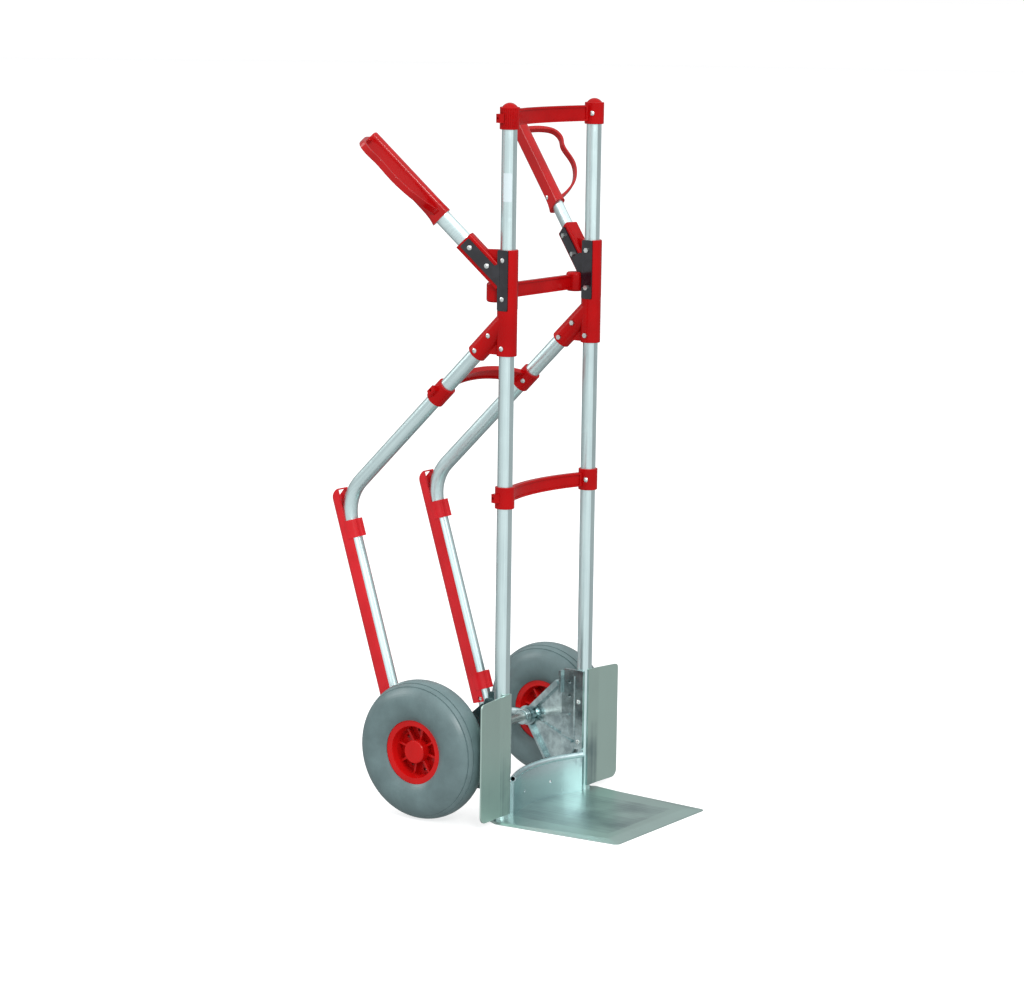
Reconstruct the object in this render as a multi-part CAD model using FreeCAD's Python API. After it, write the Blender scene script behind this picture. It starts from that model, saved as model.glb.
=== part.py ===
import FreeCAD, Part
import math
import os
from FreeCAD import Matrix, Placement, Rotation, Vector

# Hand truck with twin uprights, stair skids, yawed push handles and a fixed toe plate.
# Millimetres. +Z up, -Y towards the load, X = 0 is the mirror plane, Z = 0 the floor.

# ---------------------------------------------------------------- overall sizes
truck_height = 1318.6
upright_half_spacing = 138.0
wheel_radius = 130.0
wheel_width = 85.0
wheel_gap = 15.5
axle_y = 126.0
toe_length = 265.5
toe_front_overhang = 13.6
toe_rear_overhang = 31.6

# ---------------------------------------------------------------- tubes
tube_radius = 14.0
tube_wall = 2.0
upright_flat_depth = 1.6
handle_major = 30.0
handle_minor = 16.0
handle_wall = 2.0
axle_radius = 8.0

# ---------------------------------------------------------------- clearances
hole_clearance = 0.1
running_clearance = 0.05
axial_gap = 0.6
end_gap = 1.0
seat_clearance = 0.4
seat_cut_depth = 12.0
cut_reach = 40.0

# ---------------------------------------------------------------- fasteners
bolt_radius = 2.5
head_radius = 4.4
head_height = 2.6
seat_depth = 1.0
nut_height = 4.0
nut_radius = 4.84
socket_radius = 1.6
head_rim_share = 0.45

# ---------------------------------------------------------------- toe plate and rear wall
plate_thickness = 4.0
plate_edge_thickness = 1.6
plate_front_bevel = 30.0
plate_side_bevel = 20.0
plate_corner_radius = 9.0
wall_thickness = 3.0
wall_bow = 27.5
wall_mid_y = 15.5
wall_height = 67.6
wall_end_inset = 22.0
bead_radius = 5.5
bead_wall = 1.5
wall_hole_x = 43.5
wall_hole_z = 34.3
wall_hole_radius = 3.0

# ---------------------------------------------------------------- side wings
wing_thickness = 3.0
wing_inset = 8.0
wing_reach = 90.0
wing_bottom_z = 13.0
wing_inner_top_z = 240.0
wing_outer_top_z = 235.0
wing_corner_radius = 8.0
wing_foot_radius = 15.0
wing_fold_reach = 28.0
wing_fold_rise = 3.2
wing_rib_thickness = 3.0

# ---------------------------------------------------------------- red castings
ring_radius = 18.0
ring_height = 40.0
ring_edge_round = 1.2
bar_height = 27.0
bar_thickness = 10.0
bar_bow = 28.0
bar_groove_depth = 2.5
bar_flange = 3.6
ear_width = 13.0
ear_height = 16.0
ear_reach = 27.0
screw_angle = 19.0
flute_radius = 1.1
flute_count = 9
flute_step = 13.0
top_ring_drop = 7.6
lower_crossbar_z = 605.0
rear_crossbar_y = 144.5
middle_bar_z = 977.0
knuckle_radius = 17.0
knuckle_height = 36.0
knuckle_inset = 8.0
knuckle_round = 5.0
knuckle_back = 31.0

# ---------------------------------------------------------------- side brackets
sleeve_radius = 18.5
sleeve_bottom_z = 864.0
sleeve_top_z = 1056.0
flat_offset = 14.5
web_thickness = 10.0
arm_height = 37.0
arm_round = 4.0
arm_length = 113.6
arm_start = 10.0
arm_vertex_z = 990.5
handle_yaw = 23.7
handle_lean = 45.0
branch_length = 93.0
branch_vertex_z = 929.0
branch_bolts = (41.5, 83.0)
upright_bolt_z = 878.0
web_top_reach = 54.0

# ---------------------------------------------------------------- gusset plates
gusset_thickness = 3.0
gusset_width = 22.0
gusset_bottom_z = 946.5
gusset_arm_end = 110.0
gusset_fold_y = 6.0
gusset_crotch_radius = 7.0
gusset_bolts_z = (967.5, 1037.5)
gusset_bolts_arm = (51.3, 96.3)

# ---------------------------------------------------------------- handles and grips
handle_end = 352.0
grip_start = 171.0
grip_end = 365.0
grip_width = 36.6
grip_thickness = 18.8
grip_edge_round = 8.4
grip_end_round = 4.0
guard_round = 1.4
heel_length = 34.0
heel_reach = 4.6
heel_grow = 0.9
guard_width = 12.0
guard_points = (
    (361.0, 8.0, 9.0),
    (362.5, 30.0, 8.5),
    (361.0, 55.0, 7.5),
    (352.5, 74.0, 6.5),
    (336.5, 79.5, 6.0),
    (317.0, 75.0, 5.5),
    (298.0, 77.0, 5.0),
    (274.0, 80.0, 5.0),
    (251.5, 74.5, 5.0),
    (227.5, 61.0, 5.0),
    (206.0, 39.0, 5.0),
    (190.0, 16.0, 6.0),
    (184.0, 6.0, 8.0),
)
grip_screw_along = 197.0
grip_screw_offset = 8.0
grip_screw_length = 7.0

# ---------------------------------------------------------------- skids
skid_lean = 17.6
skid_bend_y = 363.4
skid_bend_radius = 85.0
skid_end_z = 135.0
strip_wall = 2.5
strip_depth = 9.5
strip_crown = 36.0
strip_lip = 6.0
strip_top_reach = 22.0
strip_bottom_gap = 8.0
clip_height = 34.0
clip_wall = 3.6
clip_nose_width = 12.6
clip_nose_reach = 24.0
clip_offsets = (60.0, 403.0)

# ---------------------------------------------------------------- axle brackets
flange_thickness = 6.5
flange_bite = 1.5
flange_front_y = -9.0
flange_rear_y = 38.0
flange_bottom_gap = 2.0
fan_bottom_z = 50.0
flange_top_z = 237.0
fan_thickness = 4.0
fan_hub_offset = 18.0
rib_thickness = 5.0
edge_rib_thickness = 11.0
edge_rib_height = 8.0
mid_rib_height = 5.0
hub_radius = 17.0
hub_collar_radius = 19.0
hub_inset = 12.0
hub_sleeve_radius = 12.5
hub_sleeve_inset = 29.0
hub_ridge_radius = 15.2
hub_ridge_width = 3.0
hub_ridge_insets = (27.0, 21.5, 16.0)
hub_reach = 20.0
stay_radius = 8.0
plug_length = 30.0
bracket_bolts_z = (98.0, 176.0)
pattern_y = 20.5
pattern_z = (185.0, 212.0)
pattern_radius = 3.0

# ---------------------------------------------------------------- wheels
rim_ring_radius = 60.0
rim_ring_inner = 49.0
rim_half_width = 30.4
rim_seat_radius = 54.0
rim_wall = 5.0
web_disc_thickness = 6.0
spoke_count = 8
spoke_thickness = 4.0
spoke_reach = 20.0
hub_tube_radius = 19.6
hub_inboard = 36.0
hub_outboard = 16.0
bearing_radius = 14.0
bearing_length = 12.0
cap_radius = 21.7
cap_front = 29.0
cap_wall = 2.2
axle_overrun = 24.0
ring_washer_radius = 12.5
ring_washer_thickness = 2.0
spacer_radius = 12.0
tread_groove_depth = 0.9
tread_groove_width = 2.0
tread_grooves = (-26.0, -17.0, 17.0, 26.0)

X_AXIS = Vector(1, 0, 0)
Y_AXIS = Vector(0, 1, 0)
Z_AXIS = Vector(0, 0, 1)

yaw = math.radians(handle_yaw)
lean = math.radians(handle_lean)
skid_tilt = math.radians(skid_lean)
screw_turn = math.radians(screw_angle)
diagonal = math.sqrt(0.5)
handle_half_major = handle_major / 2
handle_half_minor = handle_minor / 2
tube_bore = tube_radius - tube_wall
wheel_centre_x = upright_half_spacing + tube_radius + wheel_gap + wheel_width / 2
toe_front_half_width = upright_half_spacing + toe_front_overhang
toe_rear_half_width = upright_half_spacing + toe_rear_overhang
wing_inner_x = upright_half_spacing - wing_inset
wing_outer_x = upright_half_spacing + wing_reach
wing_fold_x = upright_half_spacing + wing_fold_reach
hub_inner_x = upright_half_spacing - hub_inset
hub_outer_x = upright_half_spacing + hub_reach
hub_sleeve_x = upright_half_spacing - hub_sleeve_inset
handle_start = tube_radius / math.sin(lean) + handle_half_major + end_gap
skid_start = tube_radius / diagonal + tube_radius + end_gap
upright_front_y = upright_flat_depth - tube_radius
cap_ring_top_z = truck_height - top_ring_drop
top_ring_z = cap_ring_top_z - ring_height / 2
upright_top_z = cap_ring_top_z - 2.0
plate_outer_x = upright_half_spacing + flat_offset
bead_z = plate_thickness + wall_height + bead_radius - 1.2
flange_bottom_z = bead_z + bead_radius + flange_bottom_gap
arm_outer = flat_offset * math.cos(yaw) - gusset_fold_y * math.sin(yaw)
arm_inner = -flat_offset * math.cos(yaw) - gusset_fold_y * math.sin(yaw)


def frame_at(origin, x_dir, y_dir, z_dir):
    """Placement that carries local x, y, z onto three world directions at an origin."""
    matrix = Matrix(
        x_dir.x, y_dir.x, z_dir.x, origin.x,
        x_dir.y, y_dir.y, z_dir.y, origin.y,
        x_dir.z, y_dir.z, z_dir.z, origin.z,
        0, 0, 0, 1,
    )
    return Placement(matrix)


def placed(shape, placement):
    """Copy of a shape moved by a placement."""
    moved = shape.copy()
    moved.Placement = placement.multiply(moved.Placement)
    return moved


def rod(radius, start, end):
    """Solid cylinder between two points."""
    span = end - start
    return Part.makeCylinder(radius, span.Length, start, span)


def block(low, high):
    """Box between two corner points."""
    return Part.makeBox(high.x - low.x, high.y - low.y, high.z - low.z, low)


def prism(points, depth):
    """Closed polygon extruded by a vector."""
    wire = Part.makePolygon(points + points[:1])
    return Part.Face(wire).extrude(depth)


def rounded_wire(points, radii, z):
    """Closed outline in a horizontal plane with one corner radius per point."""
    edges = []
    count = len(points)
    tangents = []
    for index in range(count):
        corner = Vector(points[index][0], points[index][1], z)
        before = Vector(points[index - 1][0], points[index - 1][1], z)
        after = Vector(points[(index + 1) % count][0], points[(index + 1) % count][1], z)
        to_before = (before - corner).normalize()
        to_after = (after - corner).normalize()
        half = to_before.getAngle(to_after) / 2
        reach = radii[index] / math.tan(half)
        bisector = (to_before + to_after).normalize()
        centre = corner + bisector * (radii[index] / math.sin(half))
        middle = centre - bisector * radii[index]
        tangents.append((corner + to_before * reach, middle, corner + to_after * reach))
    for index in range(count):
        start, middle, end = tangents[index]
        following = tangents[(index + 1) % count][0]
        edges.append(Part.Arc(start, middle, end).toShape())
        edges.append(Part.makeLine(end, following))
    return Part.Wire(edges)


def rounded_prism(points, radii, low, high):
    """Rounded outline extruded from one height to another."""
    face = Part.Face(rounded_wire(points, radii, low))
    return face.extrude(Vector(0, 0, high - low))


def rounded_bar(low_x, high_x, low_y, high_y, radius, low_z, high_z):
    """Rectangular bar along z with rounded long edges."""
    corners = [(low_x, low_y), (high_x, low_y), (high_x, high_y), (low_x, high_y)]
    return rounded_prism(corners, [radius] * 4, low_z, high_z)


def oval(half_x, half_y, low_z, high_z):
    """Elliptic cylinder along z."""
    if half_x > half_y:
        curve = Part.Ellipse(Vector(0, 0, low_z), half_x, half_y)
    else:
        curve = Part.Ellipse(Vector(0, half_y, low_z), Vector(half_x, 0, low_z), Vector(0, 0, low_z))
    face = Part.Face(Part.Wire([curve.toShape()]))
    return face.extrude(Vector(0, 0, high_z - low_z))


def mirrored(shape):
    """Reflection of a shape in the X = 0 plane."""
    return shape.mirror(Vector(0, 0, 0), X_AXIS)


def group(shapes):
    """Separate solids kept together as one compound."""
    solids = []
    for shape in shapes:
        solids.extend(shape.Solids)
    return Part.makeCompound(solids)


def fused(shapes):
    """Union of several touching solids as one clean solid."""
    return shapes[0].multiFuse(shapes[1:]).removeSplitter()


def d_column(radius, flat_y, low, high):
    """Round column along z with a flat cut on its front."""
    column = Part.makeCylinder(radius, high - low, Vector(0, 0, low))
    cutter = block(Vector(-radius, -radius - 1, low - 1), Vector(radius, flat_y, high + 1))
    return column.cut(cutter)


def bolt(head_point, direction, grip_length, tail_length):
    """Domed bolt: the head stands on its seat and the shank runs along the direction."""
    rim_height = head_height * head_rim_share
    crown_height = head_height - rim_height
    head = Part.makeCylinder(head_radius, rim_height, head_point, direction * -1)
    dome_base = head_point - direction * rim_height
    ball_radius = (head_radius ** 2 + crown_height ** 2) / (2 * crown_height)
    ball_centre = dome_base + direction * (ball_radius - crown_height)
    ball = Part.makeSphere(ball_radius, ball_centre)
    limit = Part.makeCylinder(head_radius, head_height, dome_base, direction * -1)
    shank = Part.makeCylinder(bolt_radius, grip_length + tail_length, head_point, direction)
    socket = Part.makeCylinder(socket_radius, socket_radius, head_point - direction * head_height, direction)
    return fused([head, ball.common(limit), shank]).cut(socket)


def nut(seat_point, direction, height):
    """Hexagon nut whose seat faces back along the direction, bored for the shank."""
    side = direction.cross(Z_AXIS)
    if side.Length < 0.1:
        side = direction.cross(Y_AXIS)
    side.normalize()
    other = direction.cross(side)
    points = []
    for index in range(6):
        angle = math.pi / 3 * index
        arm = side * math.cos(angle) + other * math.sin(angle)
        points.append(seat_point + arm * nut_radius)
    body = prism(points, direction * height)
    bore = Part.makeCylinder(bolt_radius, height + 2, seat_point - direction, direction)
    return body.cut(bore)


def shank_hole(start, direction, length):
    """Cutter that leaves a clear hole for a bolt shank."""
    return Part.makeCylinder(bolt_radius + hole_clearance, length, start, direction)


def seat_cut(seat_point, direction):
    """Cutter that leaves a flat round seat for a bolt head."""
    return Part.makeCylinder(head_radius + seat_clearance, seat_cut_depth, seat_point, direction * -1)


def nut_cut(seat_point, direction):
    """Cutter that leaves a flat round seat for a nut whose bolt runs along the direction."""
    return Part.makeCylinder(nut_radius + seat_clearance, seat_cut_depth, seat_point, direction)


# ---------------------------------------------------------------- shared axes and cores
upright_axis = Vector(upright_half_spacing, 0, 0)
handle_origin = Vector(upright_half_spacing, 0, arm_vertex_z)
handle_normal = Vector(math.cos(yaw), -math.sin(yaw), 0)
handle_level = Vector(math.sin(yaw), math.cos(yaw), 0)
handle_dir = handle_level * math.sin(lean) + Z_AXIS * math.cos(lean)
handle_down = handle_level * math.cos(lean) - Z_AXIS * math.sin(lean)
handle_frame = frame_at(handle_origin, handle_normal, handle_down, handle_dir)

branch_origin = Vector(upright_half_spacing, 0, branch_vertex_z)
branch_dir = Vector(0, diagonal, -diagonal)
branch_side = branch_dir.cross(X_AXIS)
branch_frame = frame_at(branch_origin, X_AXIS, branch_side, branch_dir)

skid_bend_z = branch_vertex_z - skid_bend_y
skid_vertex = Vector(upright_half_spacing, skid_bend_y, skid_bend_z)
skid_dir = Vector(0, -math.sin(skid_tilt), -math.cos(skid_tilt))
skid_front = skid_dir.cross(X_AXIS)
skid_frame = frame_at(skid_vertex, X_AXIS, skid_front, skid_dir)
skid_length = (skid_bend_z - skid_end_z) / math.cos(skid_tilt)
skid_foot = skid_vertex + skid_dir * skid_length
bend_turn = branch_dir.getAngle(skid_dir)
bend_reach = skid_bend_radius * math.tan(bend_turn / 2)

axle_centre = Vector(0, axle_y, wheel_radius)


def upright_core():
    """Filled envelope of one upright tube, long enough to cut any ring."""
    column = d_column(tube_radius, upright_front_y, plate_thickness, upright_top_z)
    return column.translated(upright_axis)


def handle_core():
    """Filled envelope of one handle tube in place."""
    column = oval(handle_half_minor, handle_half_major, handle_start, handle_end)
    return placed(column, handle_frame)


def skid_path():
    """Centre line of one skid tube: straight, bend, straight."""
    start = branch_origin + branch_dir * skid_start
    bend_in = skid_vertex - branch_dir * bend_reach
    bend_out = skid_vertex + skid_dir * bend_reach
    inward = (skid_dir - branch_dir).normalize()
    centre = skid_vertex + inward * (skid_bend_radius / math.cos(bend_turn / 2))
    middle = centre - inward * skid_bend_radius
    edges = [
        Part.makeLine(start, bend_in),
        Part.Arc(bend_in, middle, bend_out).toShape(),
        Part.makeLine(bend_out, skid_foot),
    ]
    return Part.Wire(edges)


def skid_sweep(radius):
    """Round bar of one radius swept along the skid centre line."""
    start = branch_origin + branch_dir * skid_start
    profile = Part.Wire([Part.makeCircle(radius, start, branch_dir)])
    return skid_path().makePipeShell([profile], True, False)


def ring_screw_line(centre, out_dir, back_dir):
    """Seat point and direction of the screw that pins a ring to its tube."""
    direction = out_dir * math.cos(screw_turn) + back_dir * math.sin(screw_turn)
    seat = centre - direction * (ring_radius - seat_depth)
    return seat, direction


def crossbar_shape(height, fluted):
    """Bowed bar with a ring at each end, its tubes running along local z."""
    bow_radius = (upright_half_spacing ** 2 + bar_bow ** 2) / (2 * bar_bow)
    centre = Vector(0, bar_bow - bow_radius, -height / 2)
    outer = Part.makeCylinder(bow_radius + bar_thickness / 2, height, centre)
    inner_radius = bow_radius - bar_thickness / 2
    inner = Part.makeCylinder(inner_radius, height, centre)
    span = block(
        Vector(-upright_half_spacing, 0 - bar_thickness, -height),
        Vector(upright_half_spacing, bar_bow + bar_thickness, height),
    )
    bar = outer.cut(inner).common(span)
    groove_z = centre + Vector(0, 0, bar_flange)
    groove = Part.makeCylinder(inner_radius + bar_groove_depth, height - 2 * bar_flange, groove_z)
    stop_x = upright_half_spacing - ring_radius - 4
    groove_span = block(Vector(-stop_x, -bar_thickness, -height), Vector(stop_x, bar_bow + 20, height))
    bar = bar.cut(groove.common(groove_span))
    pieces = [bar]
    holes = []
    for side in (-1, 1):
        axis = Vector(side * upright_half_spacing, 0, 0)
        base = axis - Z_AXIS * (ring_height / 2)
        ring = Part.makeCylinder(ring_radius, ring_height, base)
        ring = ring.makeFillet(ring_edge_round, [ring.Edges[0], ring.Edges[2]])
        seat, direction = ring_screw_line(axis, X_AXIS * side, Y_AXIS)
        across = direction.cross(Z_AXIS)
        ear = rounded_bar(0, ear_reach, -ear_width / 2, ear_width / 2, 3, -ear_height / 2, ear_height / 2)
        ear = placed(ear, frame_at(axis, direction, Z_AXIS.cross(direction), Z_AXIS))
        pieces.extend([ring, ear])
        holes.append(seat_cut(seat, direction))
        holes.append(shank_hole(seat, direction, 2 * ring_radius + 20))
        if fluted:
            for index in range(flute_count):
                turn = math.radians((index - 6) * flute_step)
                spot = Vector(side * math.cos(turn), math.sin(turn), 0) * ring_radius
                low = axis + spot - Z_AXIS * (ring_height / 2 - 3)
                holes.append(Part.makeCylinder(flute_radius, ring_height - 6, low))
    body = fused(pieces)
    return body.cut(holes[0].multiFuse(holes[1:]))


def ring_screws(placement):
    """Screws of one crossbar, in the crossbar's local frame."""
    screws = []
    for side in (-1, 1):
        axis = Vector(side * upright_half_spacing, 0, 0)
        seat, direction = ring_screw_line(axis, X_AXIS * side, Y_AXIS)
        screw = bolt(seat, direction, ring_radius * 2 - seat_depth, 4)
        screws.append(placed(screw, placement))
    return screws


def ring_holes(placement):
    """Cutters for the screws of one crossbar where they cross the tubes."""
    cutters = []
    for side in (-1, 1):
        axis = Vector(side * upright_half_spacing, 0, 0)
        seat, direction = ring_screw_line(axis, X_AXIS * side, Y_AXIS)
        cutters.append(placed(shank_hole(seat, direction, 60), placement))
    return cutters


# ---------------------------------------------------------------- crossbars
both_uprights = group([upright_core(), mirrored(upright_core())])
skid_core = skid_sweep(tube_radius)
both_skids = group([skid_core, mirrored(skid_core)])

top_place = Placement(Vector(0, 0, top_ring_z), Rotation())
lower_place = Placement(Vector(0, 0, lower_crossbar_z), Rotation())
rear_centre = Vector(0, rear_crossbar_y, branch_vertex_z - rear_crossbar_y)
rear_place = frame_at(rear_centre, X_AXIS, Vector(0, diagonal, diagonal), branch_dir * -1)

top_crossbar = placed(crossbar_shape(bar_height + 2, True), top_place).cut(both_uprights)
lower_crossbar = placed(crossbar_shape(bar_height - 1, False), lower_place).cut(both_uprights)
rear_crossbar = placed(crossbar_shape(bar_height - 1, False), rear_place).cut(both_skids)
crossbar_screws = group(ring_screws(top_place) + ring_screws(lower_place) + ring_screws(rear_place))

# ---------------------------------------------------------------- uprights
upright = d_column(tube_radius, upright_front_y, plate_thickness, upright_top_z)
bore_column = d_column(tube_bore, upright_front_y + tube_wall, plate_thickness - 1, upright_top_z + 1)
upright = upright.cut(bore_column).translated(upright_axis)
bolt_reach = 80.0
upright_cutters = ring_holes(top_place)[1:] + ring_holes(lower_place)[1:]
for height in gusset_bolts_z + (upright_bolt_z,) + bracket_bolts_z:
    start = Vector(upright_half_spacing - bolt_reach / 2, 0, height)
    upright_cutters.append(shank_hole(start, X_AXIS, bolt_reach))
upright = upright.cut(upright_cutters[0].multiFuse(upright_cutters[1:]))

# ---------------------------------------------------------------- top end plugs
plug_base = Vector(upright_half_spacing, 0, upright_top_z)
plug_flange = Part.makeCylinder(tube_radius, cap_ring_top_z - upright_top_z, plug_base)
dome_height = truck_height - cap_ring_top_z
dome_ball_radius = (tube_radius ** 2 + dome_height ** 2) / (2 * dome_height)
dome_ball = Part.makeSphere(dome_ball_radius, upright_axis + Z_AXIS * (truck_height - dome_ball_radius))
dome_limit = Part.makeCylinder(tube_radius, dome_height + 1, upright_axis + Z_AXIS * cap_ring_top_z)
plug_stem = d_column(tube_bore, upright_front_y + tube_wall, upright_top_z - 14, upright_top_z)
end_plug = fused([plug_flange, dome_ball.common(dome_limit), plug_stem.translated(upright_axis)])
top_crossbar = top_crossbar.cut(group([plug_flange, mirrored(plug_flange)]))
end_plug = end_plug.cut(ring_holes(top_place)[1])

# ---------------------------------------------------------------- handle tube
handle_tube = oval(handle_half_minor, handle_half_major, handle_start, handle_end)
handle_hollow = oval(
    handle_half_minor - handle_wall, handle_half_major - handle_wall, handle_start - 1, handle_end + 1
)
handle_tube = placed(handle_tube.cut(handle_hollow), handle_frame)
for along in gusset_bolts_arm:
    start = handle_origin + handle_dir * along - handle_normal * 30
    handle_tube = handle_tube.cut(shank_hole(start, handle_normal, 60))
grip_screw_point = handle_origin + handle_dir * grip_screw_along + handle_down * grip_screw_offset
handle_tube = handle_tube.cut(shank_hole(grip_screw_point - handle_normal * 20, handle_normal, 20))

# ---------------------------------------------------------------- skid tube
skid_tube = skid_core.cut(skid_sweep(tube_bore))
for along in branch_bolts:
    start = branch_origin + branch_dir * along - X_AXIS * 40
    skid_tube = skid_tube.cut(shank_hole(start, X_AXIS, 80))
skid_tube = skid_tube.cut(ring_holes(rear_place)[1])
foot_bolt_point = skid_foot - skid_dir * 14
skid_tube = skid_tube.cut(shank_hole(foot_bolt_point - X_AXIS * 40, X_AXIS, 80))

# ---------------------------------------------------------------- side bracket
sleeve = Part.makeCylinder(sleeve_radius, sleeve_top_z - sleeve_bottom_z, Vector(0, 0, sleeve_bottom_z))
sleeve = sleeve.makeFillet(ring_edge_round, [sleeve.Edges[0], sleeve.Edges[2]]).translated(upright_axis)
arm_half = arm_height / 2
arm = rounded_bar(arm_inner, arm_outer, -arm_half, arm_half, arm_round, arm_start, arm_length)
arm = placed(arm, handle_frame)
branch = placed(Part.makeCylinder(sleeve_radius, branch_length), branch_frame)
branch = branch.makeFillet(ring_edge_round, [branch.Edges[0], branch.Edges[2]])


def level_point(reach, height):
    """Point on the handle's vertical plane at a level distance from the upright axis."""
    return Vector(upright_half_spacing, 0, height) + handle_level * reach


arm_rise = (arm_half - 1) / diagonal
web_points = [
    level_point(0, arm_vertex_z + 8),
    level_point(web_top_reach, arm_vertex_z + web_top_reach),
    level_point(sleeve_top_z - arm_vertex_z - arm_rise, sleeve_top_z),
    level_point(0, sleeve_top_z),
]
top_web = prism(web_points, handle_normal * web_thickness)
top_web.translate(handle_normal * ((arm_inner + arm_outer - web_thickness) / 2))
lower_reach = branch_vertex_z - sleeve_bottom_z
lower_points = [
    Vector(upright_half_spacing, 0, sleeve_bottom_z + 1),
    Vector(upright_half_spacing, lower_reach - sleeve_radius / diagonal + 4, sleeve_bottom_z + 1),
    Vector(upright_half_spacing, lower_reach - 10, sleeve_bottom_z + 10),
    Vector(upright_half_spacing, 0, branch_vertex_z),
]
lower_web = prism(lower_points, X_AXIS * web_thickness)
lower_web.translate(X_AXIS * (-web_thickness / 2))
side_bracket = fused([sleeve, arm, branch, top_web, lower_web])

# ---------------------------------------------------------------- gusset plates
gusset_half = gusset_width / 2
behind_fold = block(
    Vector(0, gusset_fold_y, sleeve_bottom_z), Vector(2 * upright_half_spacing, gusset_arm_end, truck_height)
)


def gusset_plate(sign):
    """Folded Y plate: an upright leg and a leg along the handle arm."""
    if sign > 0:
        leg_low_x = plate_outer_x
        arm_low = arm_outer
    else:
        leg_low_x = upright_half_spacing - flat_offset - gusset_thickness
        arm_low = arm_inner - gusset_thickness
    corners = [
        (-gusset_half, gusset_bottom_z),
        (gusset_half, gusset_bottom_z),
        (gusset_half, sleeve_top_z),
        (-gusset_half, sleeve_top_z),
    ]
    leg = rounded_prism(corners, [3, 3, 3, 3], 0, gusset_thickness)
    leg = placed(leg, frame_at(Vector(leg_low_x, 0, 0), Y_AXIS, Z_AXIS, X_AXIS))
    leg_arm = [
        (0, -gusset_half),
        (gusset_arm_end, -gusset_half),
        (gusset_arm_end, gusset_half),
        (0, gusset_half),
    ]
    strip = rounded_prism(leg_arm, [2, 3, 3, 2], 0, gusset_thickness)
    strip_origin = handle_origin + handle_normal * arm_low
    strip = placed(strip, frame_at(strip_origin, handle_dir, handle_down * -1, handle_normal))
    strip = strip.common(behind_fold)
    crotch_reach = gusset_half + gusset_crotch_radius * 1.6
    crotch_z = arm_vertex_z + gusset_half / diagonal
    crotch = [
        level_point(2, crotch_z + 2),
        level_point(crotch_reach, crotch_z + crotch_reach),
        level_point(gusset_half / math.cos(yaw), crotch_z + crotch_reach + 3),
        level_point(2, crotch_z + crotch_reach + 3),
    ]
    filler = prism(crotch, handle_normal * gusset_thickness)
    filler.translate(handle_normal * arm_low)
    filler = filler.common(behind_fold)
    return fused([leg, strip, filler])


gusset_outer = gusset_plate(1)
gusset_inner = gusset_plate(-1)

pocket_low = gusset_bottom_z - seat_clearance
pocket_high = sleeve_top_z + cut_reach
outer_pocket = block(
    Vector(plate_outer_x, -cut_reach, pocket_low), Vector(plate_outer_x + cut_reach, cut_reach, pocket_high)
)
plate_inner_x = upright_half_spacing - flat_offset
inner_pocket = block(
    Vector(plate_inner_x - cut_reach, -cut_reach, pocket_low), Vector(plate_inner_x, cut_reach, pocket_high)
)
arm_low = Vector(arm_inner, -2 * arm_height, -2 * arm_height)
arm_high = Vector(arm_outer, 2 * arm_height, 2 * arm_length)
arm_keep = placed(block(arm_low, arm_high), handle_frame).common(behind_fold)
outer_pocket = outer_pocket.cut(arm_keep)
inner_pocket = inner_pocket.cut(arm_keep)

bracket_bolt_parts = []
bracket_nut_parts = []
gusset_bolt_parts = []
gusset_nut_parts = []
bracket_cutters = [upright_core(), handle_core(), skid_core]
bracket_cutters.extend([outer_pocket, inner_pocket, gusset_outer, gusset_inner])
plate_cutters = []
for height in gusset_bolts_z:
    out_seat = Vector(plate_outer_x + gusset_thickness, 0, height)
    stack = 2 * (flat_offset + gusset_thickness)
    gusset_bolt_parts.append(bolt(out_seat, X_AXIS * -1, stack, nut_height))
    gusset_nut_parts.append(nut(out_seat - X_AXIS * stack, X_AXIS * -1, nut_height))
    hole = shank_hole(out_seat + X_AXIS * 5, X_AXIS * -1, stack + 15)
    bracket_cutters.append(hole)
    plate_cutters.append(hole)
for along in gusset_bolts_arm:
    out_seat = handle_origin + handle_dir * along + handle_normal * (arm_outer + gusset_thickness)
    stack = arm_outer - arm_inner + 2 * gusset_thickness
    gusset_bolt_parts.append(bolt(out_seat, handle_normal * -1, stack, nut_height))
    gusset_nut_parts.append(nut(out_seat - handle_normal * stack, handle_normal * -1, nut_height))
    hole = shank_hole(out_seat + handle_normal * 5, handle_normal * -1, stack + 15)
    bracket_cutters.append(hole)
    plate_cutters.append(hole)
casting_bolt_points = [Vector(upright_half_spacing, 0, upright_bolt_z)]
for along in branch_bolts:
    casting_bolt_points.append(branch_origin + branch_dir * along)
for point in casting_bolt_points:
    out_seat = point + X_AXIS * (sleeve_radius - seat_depth)
    stack = 2 * (sleeve_radius - seat_depth)
    bracket_bolt_parts.append(bolt(out_seat, X_AXIS * -1, stack, nut_height))
    bracket_nut_parts.append(nut(out_seat - X_AXIS * stack, X_AXIS * -1, nut_height))
    bracket_cutters.append(shank_hole(out_seat + X_AXIS * 5, X_AXIS * -1, stack + 15))
    bracket_cutters.append(seat_cut(out_seat, X_AXIS * -1))
    bracket_cutters.append(nut_cut(out_seat - X_AXIS * stack, X_AXIS * -1))
for cutter in bracket_cutters:
    side_bracket = side_bracket.cut(cutter)
plate_holes = plate_cutters[0].multiFuse(plate_cutters[1:])
gusset_outer = gusset_outer.cut(plate_holes)
gusset_inner = gusset_inner.cut(plate_holes)

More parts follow.
